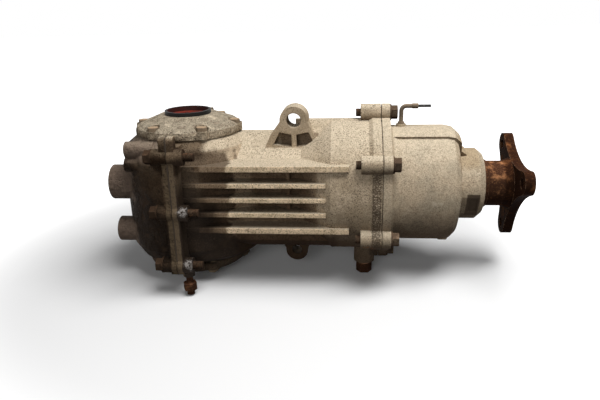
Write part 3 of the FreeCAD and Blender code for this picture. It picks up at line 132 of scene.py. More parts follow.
# Joint bar: inner and outer distance across Y, then back, front, bottom and top of its dirty edge
BAR_INNER, BAR_OUTER = 0.066, 0.110
BAR_BACK, BAR_FRONT, BAR_BOTTOM, BAR_TOP = AXLE_X - 0.0060, AXLE_X + 0.0060, -0.076, 0.046
# Dabs on the carrier: centre, radius and setting
CARRIER_DABS = (((-0.340, -0.087, -0.003), 0.0080, "paint"),
                ((-0.336, -0.088, -0.060), 0.0100, "paint"),
                ((-0.161, -0.066, -0.045), 0.0120, "rust_run"),
                ((-0.156, -0.045, -0.066), 0.0130, "rust_run"))
# Lowest and highest corners of the dirty rear bosses and of the shoulder above them
REAR_BOSSES = (((-0.440, -0.060, -0.010), (-0.398, 0.010, 0.040)),
               ((-0.440, -0.060, -0.064), (-0.400, 0.010, -0.028)),
               ((-0.410, -0.085, 0.036), (-0.362, 0.085, 0.066)))
# Scuffs on the coupling cover
SCUFFS = ((-0.0945, -0.0585, -0.003), (-0.0880, -0.0585, -0.003))
SCUFF_RADIUS = 0.0042
# Nose pockets, which get painted shade: distance from the middle and half width, then back, front, bottom
# and top
POCKET_Y, POCKET_HALF = 0.036, 0.014
POCKET_BACK, POCKET_FRONT, POCKET_BOTTOM, POCKET_TOP = -0.0595, -0.0450, -0.0275, 0.0
# Lowest and highest corners of the gap between the top ribs, of the band of chipped sealant on the carrier's
# front rim, of the shoulder of the nose and of the flange plate
TOP_GAP = ((-0.250, -0.0232, 0.036), (-0.2095, 0.0232, 0.0595))
RIM_BAND = ((-0.1565, -0.1, -0.075), (-0.1459, 0.1, 0.031))
NOSE_SHOULDER = ((-0.0740, -0.050, 0.020), (-0.040, 0.050, 0.060))
FLANGE_PLATE = ((-0.020, -0.08, -0.08), (0.002, 0.08, 0.08))

ORIGIN = (0.0, 0.0, 0.0)
WHITE = (1.0, 1.0, 1.0, 1.0)
BLACK = (0.0, 0.0, 0.0, 1.0)
FLOOR_HALF = 6.0
# Brightness of the floor where it is seen, and the light that it throws back
FLOOR_TONE, FLOOR_BOUNCE = 0.89, 0.09
# The floor runs out to plain white between these distances from this point
CLEAR_CENTRE, CLEAR_FROM, CLEAR_TO = (-0.27, 0.0, 0.0), 0.26, 0.50
# Point that both lamps face, place across the floor and size of the overhead one, place and size of the fill
LAMP_TARGET = (-0.22, 0.0, 0.0)
OVERHEAD_PLACE, OVERHEAD_SIZE = (0.20, -0.30), (1.1, 0.55)
FILL_PLACE, FILL_SIZE = (-0.45, -1.6, 0.55), (0.9, 0.6)
# Camera: angles in degrees, point that it looks at and distance from that point
ELEVATION, HEADING, ROLL = 19.2, -5.5, -1.5
CAMERA_TARGET, CAMERA_DISTANCE = (-0.2327, 0.0, -0.0205), 0.622
SENSOR_MM, LENS_MM = 36.0, 33.48


def colour(name, text, value):
    return bpy.props.FloatVectorProperty(name=name, description=text, subtype="COLOR", size=4,
                                         min=0.0, max=1.0, default=(*value, 1.0))


def gain(name, text, value):
    return bpy.props.FloatVectorProperty(name=name, description=text, size=4, min=0.0, default=(*value, 1.0))


def length(name, text, value):
    return bpy.props.FloatProperty(name=name, description=text, default=value, unit="LENGTH", precision=4)


def strength(name, text, value):
    return bpy.props.FloatProperty(name=name, description=text, default=value, min=0.0)


class DiffCastingSettings(bpy.types.PropertyGroup):
    dust: colour("Dust", "Dry road dust on the upper castings", (0.48, 0.385, 0.275))
    dust_dark: colour("Weathered dust", "Darker mottling of the dust", (0.36, 0.285, 0.195))
    metal: colour("Bare casting", "Grey beige aluminium under the dust", (0.38, 0.318, 0.232))
    settled: colour("Settled dust", "Pale dust on surfaces that face up", (0.62, 0.53, 0.40))
    olive: colour("Olive dust", "Dust caked on the retainers", (0.47, 0.385, 0.275))
    # The grime colour also stands for painted shade on faces that look down
    grime: colour("Grime", "Brown road grime low on the castings", (0.060, 0.036, 0.021))
    stain: colour("Oil stain", "Brown oil stain on the dust", (0.085, 0.055, 0.034))
    oil: colour("Oil film", "Nearly black oil film round the rear cover", (0.013, 0.008, 0.005))
    nose_film: gain("Nose film", "Brown dust over the shoulder of the nose", (0.72, 0.66, 0.58))
    boss_film: colour("Boss film", "Brown dirt on the rear bosses", (0.225, 0.165, 0.125))
    # Gap shade, gap side and below shade are painted shade: in the rib gaps and under the carrier
    gap_shade: gain("Gap shade", "Darkening of the rib gaps, towards the front", (0.50, 0.46, 0.43))
    gap_side_shade: gain("Gap side", "Darkening of the gaps between the ribs, all along", (0.62, 0.57, 0.53))
    below_shade: gain("Below shade", "Darkening of the underside", (0.34, 0.28, 0.24))
    bar_film: colour("Bar film", "Khaki dirt on the edge of the joint bar", (0.150, 0.108, 0.066))
    bar_shade: gain("Bar shade", "Gain of the skin at the ends of the joint bar", (0.30, 0.26, 0.23))
    # Rib edge is a painted highlight over the worn fronts of the ribs
    rib_wear_and_highlight: gain("Rib edge", "Gain of the skin on the worn rib edges", (1.75, 1.72, 1.66))
    rust_run: colour("Rust run", "Rust washed down from the lower bolts", (0.20, 0.095, 0.038))
    sealant: colour("Sealant", "Old sealant between the joint faces", (0.050, 0.036, 0.024))
    speck: colour("Speck", "Dark pits in the dust", (0.060, 0.042, 0.028))
    rubber_dust: colour("Rubber dust", "Dust on sealant and rubber", (0.16, 0.12, 0.085))
    paint: colour("Paint", "Traces of white paint and corrosion", (0.30, 0.275, 0.255))
    tone_low: gain("Dark grain", "Gain of the darker grains", (0.68, 0.66, 0.63))
    tone_high: gain("Pale grain", "Gain of the paler grains", (1.22, 1.21, 1.19))
    worn: gain("Worn edge", "Gain of the worn edges", (1.5, 1.45, 1.38))
    grain: length("Grain", "Size of the sand-cast grain", 0.0012)
    stain_edge: length("Stain edge", "How far forward the oil stain reaches along the case", -0.297)
    oil_edge: length("Oil edge", "How far forward the thick oil film reaches", -0.326)
    oil_top: length("Oil top", "Height up to which the oil lies", 0.050)
    cover_oil_top: length("Cover oil top", "Height up to which the rear cover is oily", 0.056)
    grime_level: length("Grime level", "Height where the grime begins", -0.018)
    grime_depth: length("Grime depth", "Height over which the grime thickens", 0.050)


class DiffSteelSettings(bpy.types.PropertyGroup):
    rust_dark: colour("Dark rust", "Old brown rust", (0.040, 0.018, 0.010))
    rust_bright: colour("Bright rust", "Orange rust blooms", (0.36, 0.170, 0.075))
    rust_pale: colour("Pale rust", "Worn pale edges", (0.40, 0.25, 0.16))
    bolt_dust: colour("Bolt dust", "Dust on bolt heads", (0.24, 0.18, 0.12))
    bolt_dark: colour("Bolt steel", "Dark brown bolt steel", (0.055, 0.038, 0.026))
    olive_bolt: colour("Caked bolt", "Dust caked on the retainer bolts", (0.30, 0.245, 0.165))
    oily_dark: colour("Oily bolt", "Oily bolt steel", (0.030, 0.019, 0.012))
    oily_brown: colour("Oily rust", "Oily rust of the through bolts", (0.080, 0.050, 0.032))
    plug_rust: colour("Plug rust", "Rust of the plugs and the stud", (0.22, 0.100, 0.048))
    steel: colour("Steel", "Clean ground steel", (0.50, 0.50, 0.50))
    gear: colour("Gear steel", "Oiled gear steel", (0.26, 0.255, 0.25))
    red_lip: colour("Seal lip", "Red rubber of the axle seals", (0.20, 0.026, 0.016))
    dark_lip: colour("Seal lip in shade", "Darker mottling of the red rubber", (0.10, 0.020, 0.014))
    black: colour("Rubber", "Black rubber and paint", (0.012, 0.011, 0.010))
    pipe_dark: colour("Pipe", "Breather pipe under its dust", (0.16, 0.125, 0.09))
    pipe_dust: colour("Pipe dust", "Dust on the breather pipe", (0.28, 0.22, 0.15))
    copper: colour("Copper", "Washer of the drain plug", (0.45, 0.25, 0.14))
    case_iron: colour("Case iron", "Cast iron of the differential case", (0.13, 0.125, 0.12))
    plate: colour("Clutch steel", "Plates, hub and drum of the clutch", (0.33, 0.32, 0.31))
    lining: colour("Lining", "Friction lining of the clutch plates", (0.13, 0.085, 0.05))
    coil: colour("Coil", "Varnish of the magnet coil", (0.26, 0.10, 0.03))
    # Rust below and rust above are painted shade and a painted highlight, by which way the rust faces
    below: gain("Rust below", "Gain of rust that faces down", (0.24, 0.18, 0.15))
    above: gain("Rust above", "Gain of rust that faces up", (1.75, 1.65, 1.6))
    # Flange front is painted shade on the flange plate
    flange_plate_shade: gain("Flange front", "Gain of the flange plate against its hub", (0.45, 0.40, 0.37))


class DiffStageSettings(bpy.types.PropertyGroup):
    floor_gap: length("Floor gap", "Gap between the lowest point and the floor", 0.0005)
    lamp_height: length("Lamp height", "Height of the overhead lamp", 1.2)
    lamp_power: strength("Lamp power", "Watts of the overhead lamp", 20.5)
    fill_power: strength("Fill power", "Watts of the front fill", 7.0)
    ambient: strength("Ambient", "Light from all round", 0.08)


def link(tree, a, b):
    tree.links.new(a, b)


def put(tree, kind, **values):
    """Add a node and set its properties."""
    item = tree.nodes.new(kind)
    for key, value in values.items():
        setattr(item, key, value)
    return item


def feed(tree, value, socket):
    """Link a socket to an input, or set the input to a plain value."""
    if isinstance(value, bpy.types.NodeSocket):
        link(tree, value, socket)
    else:
        socket.default_value = value


def object_place(tree):
    return put(tree, "ShaderNodeTexCoord").outputs["Object"]


def maths(tree, operation, a, b=None, clamp=False):
    item = put(tree, "ShaderNodeMath", operation=operation, use_clamp=clamp)
    feed(tree, a, item.inputs[0])
    if b is not None:
        feed(tree, b, item.inputs[1])
    return item.outputs[0]


def ramp(tree, value, low, high, smooth=True):
    item = put(tree, "ShaderNodeMapRange", interpolation_type="SMOOTHSTEP" if smooth else "LINEAR")
    feed(tree, value, item.inputs["Value"])
    feed(tree, low, item.inputs["From Min"])
    feed(tree, high, item.inputs["From Max"])
    return item.outputs["Result"]


def blend_colour(tree, share, a, b, mode="MIX"):
    item = put(tree, "ShaderNodeMix", data_type="RGBA", blend_type=mode)
    for index, value in ((0, share), (6, a), (7, b)):
        feed(tree, value, item.inputs[index])
    return item.outputs[2]


def scale_colour(tree, skin, factor):
    """Multiply a colour by another one."""
    return blend_colour(tree, 1.0, skin, factor, "MULTIPLY")


def coat(tree, skin, mask, share, tint):
    """Blend a tint over the skin by a share of a mask."""
    return blend_colour(tree, maths(tree, "MULTIPLY", mask, share), skin, tint)


def vector_maths(tree, operation, a, b):
    """Node that works on two vectors, or scales a vector by a number."""
    item = put(tree, "ShaderNodeVectorMath", operation=operation)
    feed(tree, a, item.inputs[0])
    feed(tree, b, item.inputs["Scale" if operation == "SCALE" else 1])
    return item


def axes(tree, vector):
    """The X, Y and Z outputs of a split vector, by name."""
    item = put(tree, "ShaderNodeSeparateXYZ")
    link(tree, vector, item.inputs[0])
    return item.outputs


def noise(tree, where, scale, detail=4.0, roughness=0.55):
    item = put(tree, "ShaderNodeTexNoise")
    feed(tree, where, item.inputs["Vector"])
    feed(tree, scale, item.inputs["Scale"])
    feed(tree, detail, item.inputs["Detail"])
    feed(tree, roughness, item.inputs["Roughness"])
    return item.outputs["Fac"]


def new_group(name, inputs, outputs):
    tree = bpy.data.node_groups.new(name, "ShaderNodeTree")
    for label, kind, default in inputs:
        socket = tree.interface.new_socket(name=label, in_out="INPUT", socket_type=kind)
        socket.default_value = default
    for label, kind in outputs:
        tree.interface.new_socket(name=label, in_out="OUTPUT", socket_type=kind)
    return tree, put(tree, "NodeGroupInput"), put(tree, "NodeGroupOutput")


def casting_grain_group():
    """Sand-cast skin: grain height, salt-and-pepper tone, dark pits and broad mottling."""
    tree, start, end = new_group("casting_grain", [("Grain", "NodeSocketFloat", 0.001)],
                                 [("Height", "NodeSocketFloat"), ("Tone", "NodeSocketFloat"),
                                  ("Pits", "NodeSocketFloat"), ("Mottle", "NodeSocketFloat")])
    where = object_place(tree)
    grain = noise(tree, where, maths(tree, "DIVIDE", 1.0, start.outputs["Grain"]), 2.0, 0.65)
    coarse = noise(tree, where, maths(tree, "DIVIDE", 0.32, start.outputs["Grain"]), 4.0, 0.7)
    height = maths(tree, "ADD", maths(tree, "MULTIPLY", grain, 0.7), maths(tree, "MULTIPLY", coarse, 0.7))
    link(tree, height, end.inputs["Height"])
    tone = maths(tree, "ADD", maths(tree, "MULTIPLY", grain, 0.65), maths(tree, "MULTIPLY", coarse, 0.35))
    link(tree, ramp(tree, tone, 0.36, 0.62, smooth=False), end.inputs["Tone"])
    cluster = noise(tree, where, 55.0, 3.0, 0.6)
    level = maths(tree, "ADD", grain, maths(tree, "MULTIPLY", cluster, 0.30))
    link(tree, ramp(tree, level, 0.585, 0.49), end.inputs["Pits"])
    broad = noise(tree, where, 42.0, 5.0, 0.65)
    link(tree, ramp(tree, broad, 0.36, 0.66), end.inputs["Mottle"])


def edge_wear_group():
    """Mask of convex edges, broken up by noise."""
    tree, start, end = new_group("edge_wear", [("Width", "NodeSocketFloat", 0.001)],
                                 [("Mask", "NodeSocketFloat"), ("Normal", "NodeSocketVector")])
    where = object_place(tree)
    soft = put(tree, "ShaderNodeBevel", samples=4)
    link(tree, start.outputs["Width"], soft.inputs["Radius"])
    plain = put(tree, "ShaderNodeNewGeometry").outputs["Normal"]
    turned = vector_maths(tree, "DOT_PRODUCT", soft.outputs[0], plain).outputs["Value"]
    edge = ramp(tree, turned, 0.985, 0.80)
    broken = ramp(tree, noise(tree, where, 300.0, 3.0), 0.35, 0.65)
    link(tree, maths(tree, "MULTIPLY", edge, broken, clamp=True), end.inputs["Mask"])
    link(tree, soft.outputs[0], end.inputs["Normal"])


def grime_group():
    """Where the oil stain, the thick oil film and the road grime lie."""
    inputs = [("Stain Edge", "NodeSocketFloat", -0.297), ("Oil Edge", "NodeSocketFloat", -0.326),
              ("Oil Top", "NodeSocketFloat", 0.05), ("Grime Level", "NodeSocketFloat", 0.0),
              ("Grime Depth", "NodeSocketFloat", 0.05)]
    outputs = [("Stain", "NodeSocketFloat"), ("Oil", "NodeSocketFloat"), ("Grime", "NodeSocketFloat")]
    tree, start, end = new_group("grime_place", inputs, outputs)
    where = object_place(tree)
    split = axes(tree, where)
    blotch = noise(tree, where, 24.0, 4.0, 0.6)
    shift = maths(tree, "MULTIPLY", maths(tree, "SUBTRACT", blotch, 0.5), 0.060)
    x = maths(tree, "ADD", split["X"], shift)
    z = maths(tree, "ADD", split["Z"], maths(tree, "MULTIPLY", shift, 0.5))
    under = ramp(tree, maths(tree, "SUBTRACT", start.outputs["Oil Top"], z), -0.003, 0.006)
    stain = ramp(tree, maths(tree, "SUBTRACT", start.outputs["Stain Edge"], x), -0.002, 0.004)
    link(tree, maths(tree, "MULTIPLY", stain, under), end.inputs["Stain"])
    low = maths(tree, "MULTIPLY", z, 0.55)
    leaning = maths(tree, "ADD", x, low)
    deep = ramp(tree, maths(tree, "SUBTRACT", start.outputs["Oil Edge"], leaning), -0.016, 0.014)
    link(tree, maths(tree, "MULTIPLY", deep, under), end.inputs["Oil"])
    depth = maths(tree, "DIVIDE", maths(tree, "SUBTRACT", start.outputs["Grime Level"], z),
                  start.outputs["Grime Depth"])
    link(tree, ramp(tree, depth, 0.0, 1.0), end.inputs["Grime"])


def facing_dust_and_light_group():
    """How far a surface faces up, where dust settles and a painted highlight goes, or down, where grime
    hangs and painted shade goes.
    """
    tree, start, end = new_group("facing_dust_and_light", [("Break", "NodeSocketFloat", 0.25)],
                                 [("Up", "NodeSocketFloat"), ("Down", "NodeSocketFloat")])
    where = object_place(tree)
    split = axes(tree, put(tree, "ShaderNodeNewGeometry").outputs["Normal"])
    broken = maths(tree, "MULTIPLY", maths(tree, "SUBTRACT", noise(tree, where, 70.0, 5.0, 0.65), 0.5),
                   start.outputs["Break"])
    lean = maths(tree, "ADD", split["Z"], broken)
    link(tree, ramp(tree, lean, 0.25, 0.95), end.inputs["Up"])
    link(tree, ramp(tree, lean, 0.02, -0.75), end.inputs["Down"])


def paint_dab_group():
    """Ragged, crumbly dab round a point."""
    inputs = [("Centre", "NodeSocketVector", ORIGIN), ("Radius", "NodeSocketFloat", 0.006)]
    tree, start, end = new_group("paint_dab", inputs, [("Mask", "NodeSocketFloat")])
    where = object_place(tree)
    apart = vector_maths(tree, "DISTANCE", where, start.outputs["Centre"]).outputs["Value"]
    share = maths(tree, "DIVIDE", apart, start.outputs["Radius"])
    ragged = maths(tree, "ADD", share, maths(tree, "MULTIPLY", noise(tree, where, 420.0, 5.0, 0.75), 2.2))
    link(tree, ramp(tree, ragged, 1.90, 1.50), end.inputs["Mask"])


def soft_box_group():
    """Mask that is 1 inside a box and fades over its soft edge."""
    inputs = [("Low", "NodeSocketVector", ORIGIN), ("High", "NodeSocketVector", ORIGIN),
              ("Soft", "NodeSocketFloat", 0.002), ("Ragged", "NodeSocketFloat", 0.0)]
    tree, start, end = new_group("soft_box", inputs, [("Mask", "NodeSocketFloat")])
    where = object_place(tree)
    stir = put(tree, "ShaderNodeTexNoise")
    link(tree, where, stir.inputs["Vector"])
    stir.inputs["Scale"].default_value = 150.0
    stir.inputs["Detail"].default_value = 5.0
    centred = vector_maths(tree, "SUBTRACT", stir.outputs["Color"], (0.5, 0.5, 0.5)).outputs[0]
    torn = vector_maths(tree, "SCALE", centred, start.outputs["Ragged"]).outputs[0]
    moved = vector_maths(tree, "ADD", where, torn).outputs[0]
    mask = 1.0
    for lower, upper in ((start.outputs["Low"], moved), (moved, start.outputs["High"])):
        gap = axes(tree, vector_maths(tree, "SUBTRACT", upper, lower).outputs[0])
        for axis in "XYZ":
            side = ramp(tree, maths(tree, "DIVIDE", gap[axis], start.outputs["Soft"]), 0.0, 1.0)
            mask = maths(tree, "MULTIPLY", side, mask)
    link(tree, mask, end.inputs["Mask"])


def rust_group():
    """Scale and blooms of rust."""
    tree, start, end = new_group("rust_bloom", [("Scale", "NodeSocketFloat", 60.0)],
                                 [("Bloom", "NodeSocketFloat"), ("Fleck", "NodeSocketFloat"),
                                  ("Height", "NodeSocketFloat")])
    where = object_place(tree)
    broad = noise(tree, where, start.outputs["Scale"], 6.0, 0.7)
    fine = noise(tree, where, maths(tree, "MULTIPLY", start.outputs["Scale"], 9.0), 4.0, 0.7)
    link(tree, ramp(tree, broad, 0.50, 0.68), end.inputs["Bloom"])
    link(tree, ramp(tree, fine, 0.52, 0.68), end.inputs["Fleck"])
    link(tree, maths(tree, "ADD", maths(tree, "MULTIPLY", broad, 0.5), fine), end.inputs["Height"])


def group_node(tree, name, **inputs):
    """Add a shared group and set its inputs; an underscore stands for a space in their names."""
    item = put(tree, "ShaderNodeGroup", node_tree=bpy.data.node_groups[name])
    for label, value in inputs.items():
        feed(tree, value, item.inputs[label.replace("_", " ")])
    return item


def new_material(name):
    material = bpy.data.materials.new(name)
    material.use_nodes = True
    tree = material.node_tree
    shader = tree.nodes["Principled BSDF"]
    return material, tree, shader


def bump(tree, height, amount, distance, normal=None):
    item = put(tree, "ShaderNodeBump")
    feed(tree, amount, item.inputs["Strength"])
    feed(tree, distance, item.inputs["Distance"])
    link(tree, height, item.inputs["Height"])
    if normal is not None:
        link(tree, normal, item.inputs["Normal"])
    return item.outputs[0]


def paint_nodes(material, *names):
    for name in names:
        item = frame["nodes"][name]
        item.data.materials.clear()
        item.data.materials.append(material)


def box_mask(tree, corners, soft, ragged=0.0):
    low, high = corners
    return group_node(tree, "soft_box", Low=low, High=high, Soft=soft, Ragged=ragged).outputs["Mask"]


def tint_box(tree, skin, factor, corners, soft, ragged=0.0):
    """Multiply the skin inside a soft box, which keeps its grain."""
    return blend_colour(tree, box_mask(tree, corners, soft, ragged), skin, scale_colour(tree, skin, factor))


def bar_dirt(tree, skin, near, far):
    """Khaki dirt with dark crumbs on the edge of the joint bar, between two places across."""
    s = bpy.context.scene.diff_casting
    corners = (BAR_BACK, near, BAR_BOTTOM), (BAR_FRONT, far, BAR_TOP)
    film = maths(tree, "MULTIPLY", box_mask(tree, corners, 0.0012, 0.002), 0.8)
    skin = blend_colour(tree, film, skin, s.bar_film)
    crumbs = ramp(tree, noise(tree, object_place(tree), 480.0, 4.0, 0.7), 0.50, 0.62)
    return coat(tree, skin, film, crumbs, s.speck)


def tint_sides(tree, skin, rows):
    """Tint both sides of a casting, and dirty its end of the joint bar."""
    s = bpy.context.scene.diff_casting
    for side in (-1, 1):
        for name, back, front, inner, outer, bottom, top, soft, ragged in rows:
            near, far = sorted((side * inner, side * outer))
            corners = (back, near, bottom), (front, far, top)
            skin = tint_box(tree, skin, getattr(s, name), corners, soft, ragged)
        skin = bar_dirt(tree, skin, *sorted((side * BAR_INNER, side * BAR_OUTER)))
    return skin


def casting_material(name, base, dark, place, pits, wear, cake=0.0):
    """Dusty sand casting; place holds the inputs of the grime_place group.
    Cake is how thick the dirt clods lie, in metres."""
    s = bpy.context.scene.diff_casting
    material, tree, shader = new_material(name)
    grain = group_node(tree, "casting_grain", Grain=s.grain)
    dirt = group_node(tree, "grime_place", **place)
    edge = group_node(tree, "edge_wear", Width=0.0016)
    fall = group_node(tree, "facing_dust_and_light", Break=0.6)
    skin = blend_colour(tree, grain.outputs["Mottle"], base, dark)
    # Faces that look up get settled dust and a painted highlight, faces that look down get grime and painted
    # shade
    skin = coat(tree, skin, fall.outputs["Up"], 0.8, s.settled)
    skin = coat(tree, skin, fall.outputs["Down"], 0.75, s.grime)
    skin = coat(tree, skin, dirt.outputs["Grime"], 0.85, s.grime)
    skin = coat(tree, skin, dirt.outputs["Stain"], 0.85, s.stain)
    skin = coat(tree, skin, dirt.outputs["Oil"], 0.94, s.oil)
    skin = scale_colour(tree, skin, blend_colour(tree, grain.outputs["Tone"], s.tone_low, s.tone_high))
    skin = coat(tree, skin, edge.outputs["Mask"], wear, scale_colour(tree, skin, s.worn))
    skin = coat(tree, skin, grain.outputs["Pits"], pits, s.speck)
    wet = maths(tree, "MULTIPLY", dirt.outputs["Oil"], -0.22)
    rough = maths(tree, "ADD", maths(tree, "MULTIPLY", grain.outputs["Mottle"], 0.10), 0.76)
    link(tree, maths(tree, "ADD", rough, wet), shader.inputs["Roughness"])
    shader.inputs["Specular IOR Level"].default_value = 0.10
    normal = edge.outputs["Normal"]
    if cake:
        clods = ramp(tree, noise(tree, object_place(tree), 95.0, 6.0, 0.62), 0.35, 0.68)
        normal = bump(tree, clods, 0.9, cake, normal)
        skin = coat(tree, skin, ramp(tree, clods, 0.30, 0.02), cake * CREVICE_SHARE, s.grime)
    link(tree, bump(tree, grain.outputs["Height"], 0.75, 0.0009, normal), shader.inputs["Normal"])
    return material, tree, shader, skin


def rust_material(name, dark, bright, pale, scale, bloom, wear, shade_front=False):
    """Rusty steel, with painted shade where it faces down and a painted highlight where it faces up; with
    shade_front the flange plate gets painted shade against its hub.
    """
    s = bpy.context.scene.diff_steel
    material, tree, shader = new_material(name)
    rust = group_node(tree, "rust_bloom", Scale=scale)
    edge = group_node(tree, "edge_wear", Width=0.0014)
    skin = coat(tree, dark, rust.outputs["Bloom"], bloom, bright)
    skin = coat(tree, skin, rust.outputs["Fleck"], 0.35, bright)
    # Painted shade on rust that faces down and a painted highlight on rust that faces up
    fall = group_node(tree, "facing_dust_and_light", Break=0.5)
    skin = blend_colour(tree, fall.outputs["Down"], skin, scale_colour(tree, skin, s.below))
    skin = blend_colour(tree, fall.outputs["Up"], skin, scale_colour(tree, skin, s.above))
    # Painted shade on the flange plate, against its hub
    if shade_front:
        skin = tint_box(tree, skin, s.flange_plate_shade, FLANGE_PLATE, 0.004, 0.006)
    skin = coat(tree, skin, edge.outputs["Mask"], wear, pale)
    link(tree, skin, shader.inputs["Base Color"])
    rough = maths(tree, "ADD", maths(tree, "MULTIPLY", rust.outputs["Bloom"], 0.12), 0.82)
    link(tree, rough, shader.inputs["Roughness"])
    shader.inputs["Specular IOR Level"].default_value = 0.03
    scales = bump(tree, rust.outputs["Height"], 0.45, 0.0006, edge.outputs["Normal"])
    link(tree, scales, shader.inputs["Normal"])
    return material


def steel_material(name, base, roughness, streak):
    """Machined steel with an oil film; streak is the scale of its marks."""
    material, tree, shader = new_material(name)
    where = object_place(tree)
    edge = group_node(tree, "edge_wear", Width=0.0006)
    film = ramp(tree, noise(tree, where, 90.0, 5.0, 0.6), 0.35, 0.7)
    dull = tuple(0.55 * c for c in base[:3]) + (1.0,)
    link(tree, blend_colour(tree, film, base, dull), shader.inputs["Base Color"])
    shader.inputs["Metallic"].default_value = 0.95
    link(tree, maths(tree, "ADD", maths(tree, "MULTIPLY", film, 0.2), roughness), shader.inputs["Roughness"])
    marks = bump(tree, noise(tree, where, streak, 3.0, 0.6), 0.12, 0.0002, edge.outputs["Normal"])
    link(tree, marks, shader.inputs["Normal"])
    return material


def rubber_material(name, base, roughness):
    """Rubber, sealant, lining or varnish with a little dust."""
    material, tree, shader = new_material(name)
    where = object_place(tree)
    dust = ramp(tree, noise(tree, where, 120.0, 5.0, 0.65), 0.52, 0.74)
    skin = coat(tree, base, dust, 0.35, bpy.context.scene.diff_casting.rubber_dust)
    link(tree, skin, shader.inputs["Base Color"])
    link(tree, maths(tree, "ADD", maths(tree, "MULTIPLY", dust, 0.3), roughness), shader.inputs["Roughness"])
    shader.inputs["Specular IOR Level"].default_value = 0.2
    link(tree, bump(tree, noise(tree, where, 900.0, 3.0, 0.5), 0.2, 0.0003), shader.inputs["Normal"])
    return material


def axle_seal_material(name):
    """Black dusty rim outside, red lip towards the axle."""
    s = bpy.context.scene.diff_steel
    material, tree, shader = new_material(name)
    where = object_place(tree)
    split = axes(tree, where)
    x = maths(tree, "SUBTRACT", split["X"], AXLE_X)
    y = split["Y"]
    squares = maths(tree, "ADD", maths(tree, "MULTIPLY", x, x), maths(tree, "MULTIPLY", y, y))
    radius = maths(tree, "SQRT", squares)
    lip = ramp(tree, radius, RIM_RADIUS, LIP_RADIUS)
    mottled = ramp(tree, noise(tree, where, 160.0, 4.0, 0.6), 0.3, 0.7)
    red = blend_colour(tree, mottled, s.red_lip, s.dark_lip)
    link(tree, blend_colour(tree, lip, s.black, red), shader.inputs["Base Color"])
    shader.inputs["Roughness"].default_value = 0.5
    shader.inputs["Specular IOR Level"].default_value = 0.10
    link(tree, bump(tree, noise(tree, where, 500.0, 3.0, 0.5), 0.15, 0.0003), shader.inputs["Normal"])
    return material


class DIFF_OT_effects(bpy.types.Operator):
    """Build the shader groups that several finishes share"""
    bl_idname = "diff.effects"
    bl_label = "Shared effects"

    def execute(self, context):
        casting_grain_group()
        edge_wear_group()
        grime_group()
        facing_dust_and_light_group()
        paint_dab_group()
        soft_box_group()
        rust_group()
        return {"FINISHED"}


class DIFF_OT_carrier(bpy.types.Operator):
    """Dusty sand-cast carrier: oil stain, painted shade in the rib gaps and underneath, a painted highlight
    on the worn rib fronts, chipped rim band, white dabs and rust runs
    """
    bl_idname = "diff.carrier"
    bl_label = "Carrier"

    def execute(self, context):
        s = context.scene.diff_casting
        place = {"Stain_Edge": s.stain_edge, "Oil_Edge": s.oil_edge, "Oil_Top": s.oil_top,
                 "Grime_Level": s.grime_level, "Grime_Depth": s.grime_depth}
        material, tree, shader, skin = casting_material("dusty_carrier", s.dust, s.dust_dark, place,
                                                        0.62, 0.6)
        skin = tint_sides(tree, skin, CARRIER_TINTS)
        # Painted shade in the gap between the top ribs
        skin = tint_box(tree, skin, s.gap_shade, TOP_GAP, 0.0008)
        where = object_place(tree)
        chips = ramp(tree, noise(tree, where, 700.0, 3.0, 0.7), 0.62, 0.50)
        band = maths(tree, "MULTIPLY", box_mask(tree, RIM_BAND, 0.0015, 0.003), chips)
        skin = coat(tree, skin, band, 0.85, s.speck)
        broken = ramp(tree, noise(tree, where, 330.0, 4.0, 0.7), 0.40, 0.56)
        for centre, radius, tint in CARRIER_DABS:
            dab = group_node(tree, "paint_dab", Centre=centre, Radius=radius)
            skin = coat(tree, skin, dab.outputs["Mask"], broken, getattr(s, tint))
        link(tree, skin, shader.inputs["Base Color"])
        paint_nodes(material, "carrier_case")
        return {"FINISHED"}


class DIFF_OT_rear_cover(bpy.types.Operator):
    """Oily rear cover, and the sealant of both joints"""
    bl_idname = "diff.rear_cover"
    bl_label = "Rear cover"

    def execute(self, context):
        s = context.scene.diff_casting
        place = {"Stain_Edge": -0.330, "Oil_Edge": -0.365, "Oil_Top": s.cover_oil_top,
                 "Grime_Level": s.cover_oil_top, "Grime_Depth": s.grime_depth}
        material, tree, shader, skin = casting_material("oily_cover", s.olive, s.grime, place,
                                                        0.6, 0.7, 0.0030)
        skin = tint_sides(tree, skin, REAR_COVER_TINTS)
        for corners in REAR_BOSSES:
            skin = coat(tree, skin, box_mask(tree, corners, 0.008, 0.012), 0.75, s.boss_film)
        shader.inputs["Specular IOR Level"].default_value = 0.04
        link(tree, skin, shader.inputs["Base Color"])
        paint_nodes(material, "rear_cover")
        sealant = rubber_material("sealant", s.sealant, 0.7)
        paint_nodes(sealant, "rear_cover_gasket", "coupling_gasket")
        return {"FINISHED"}


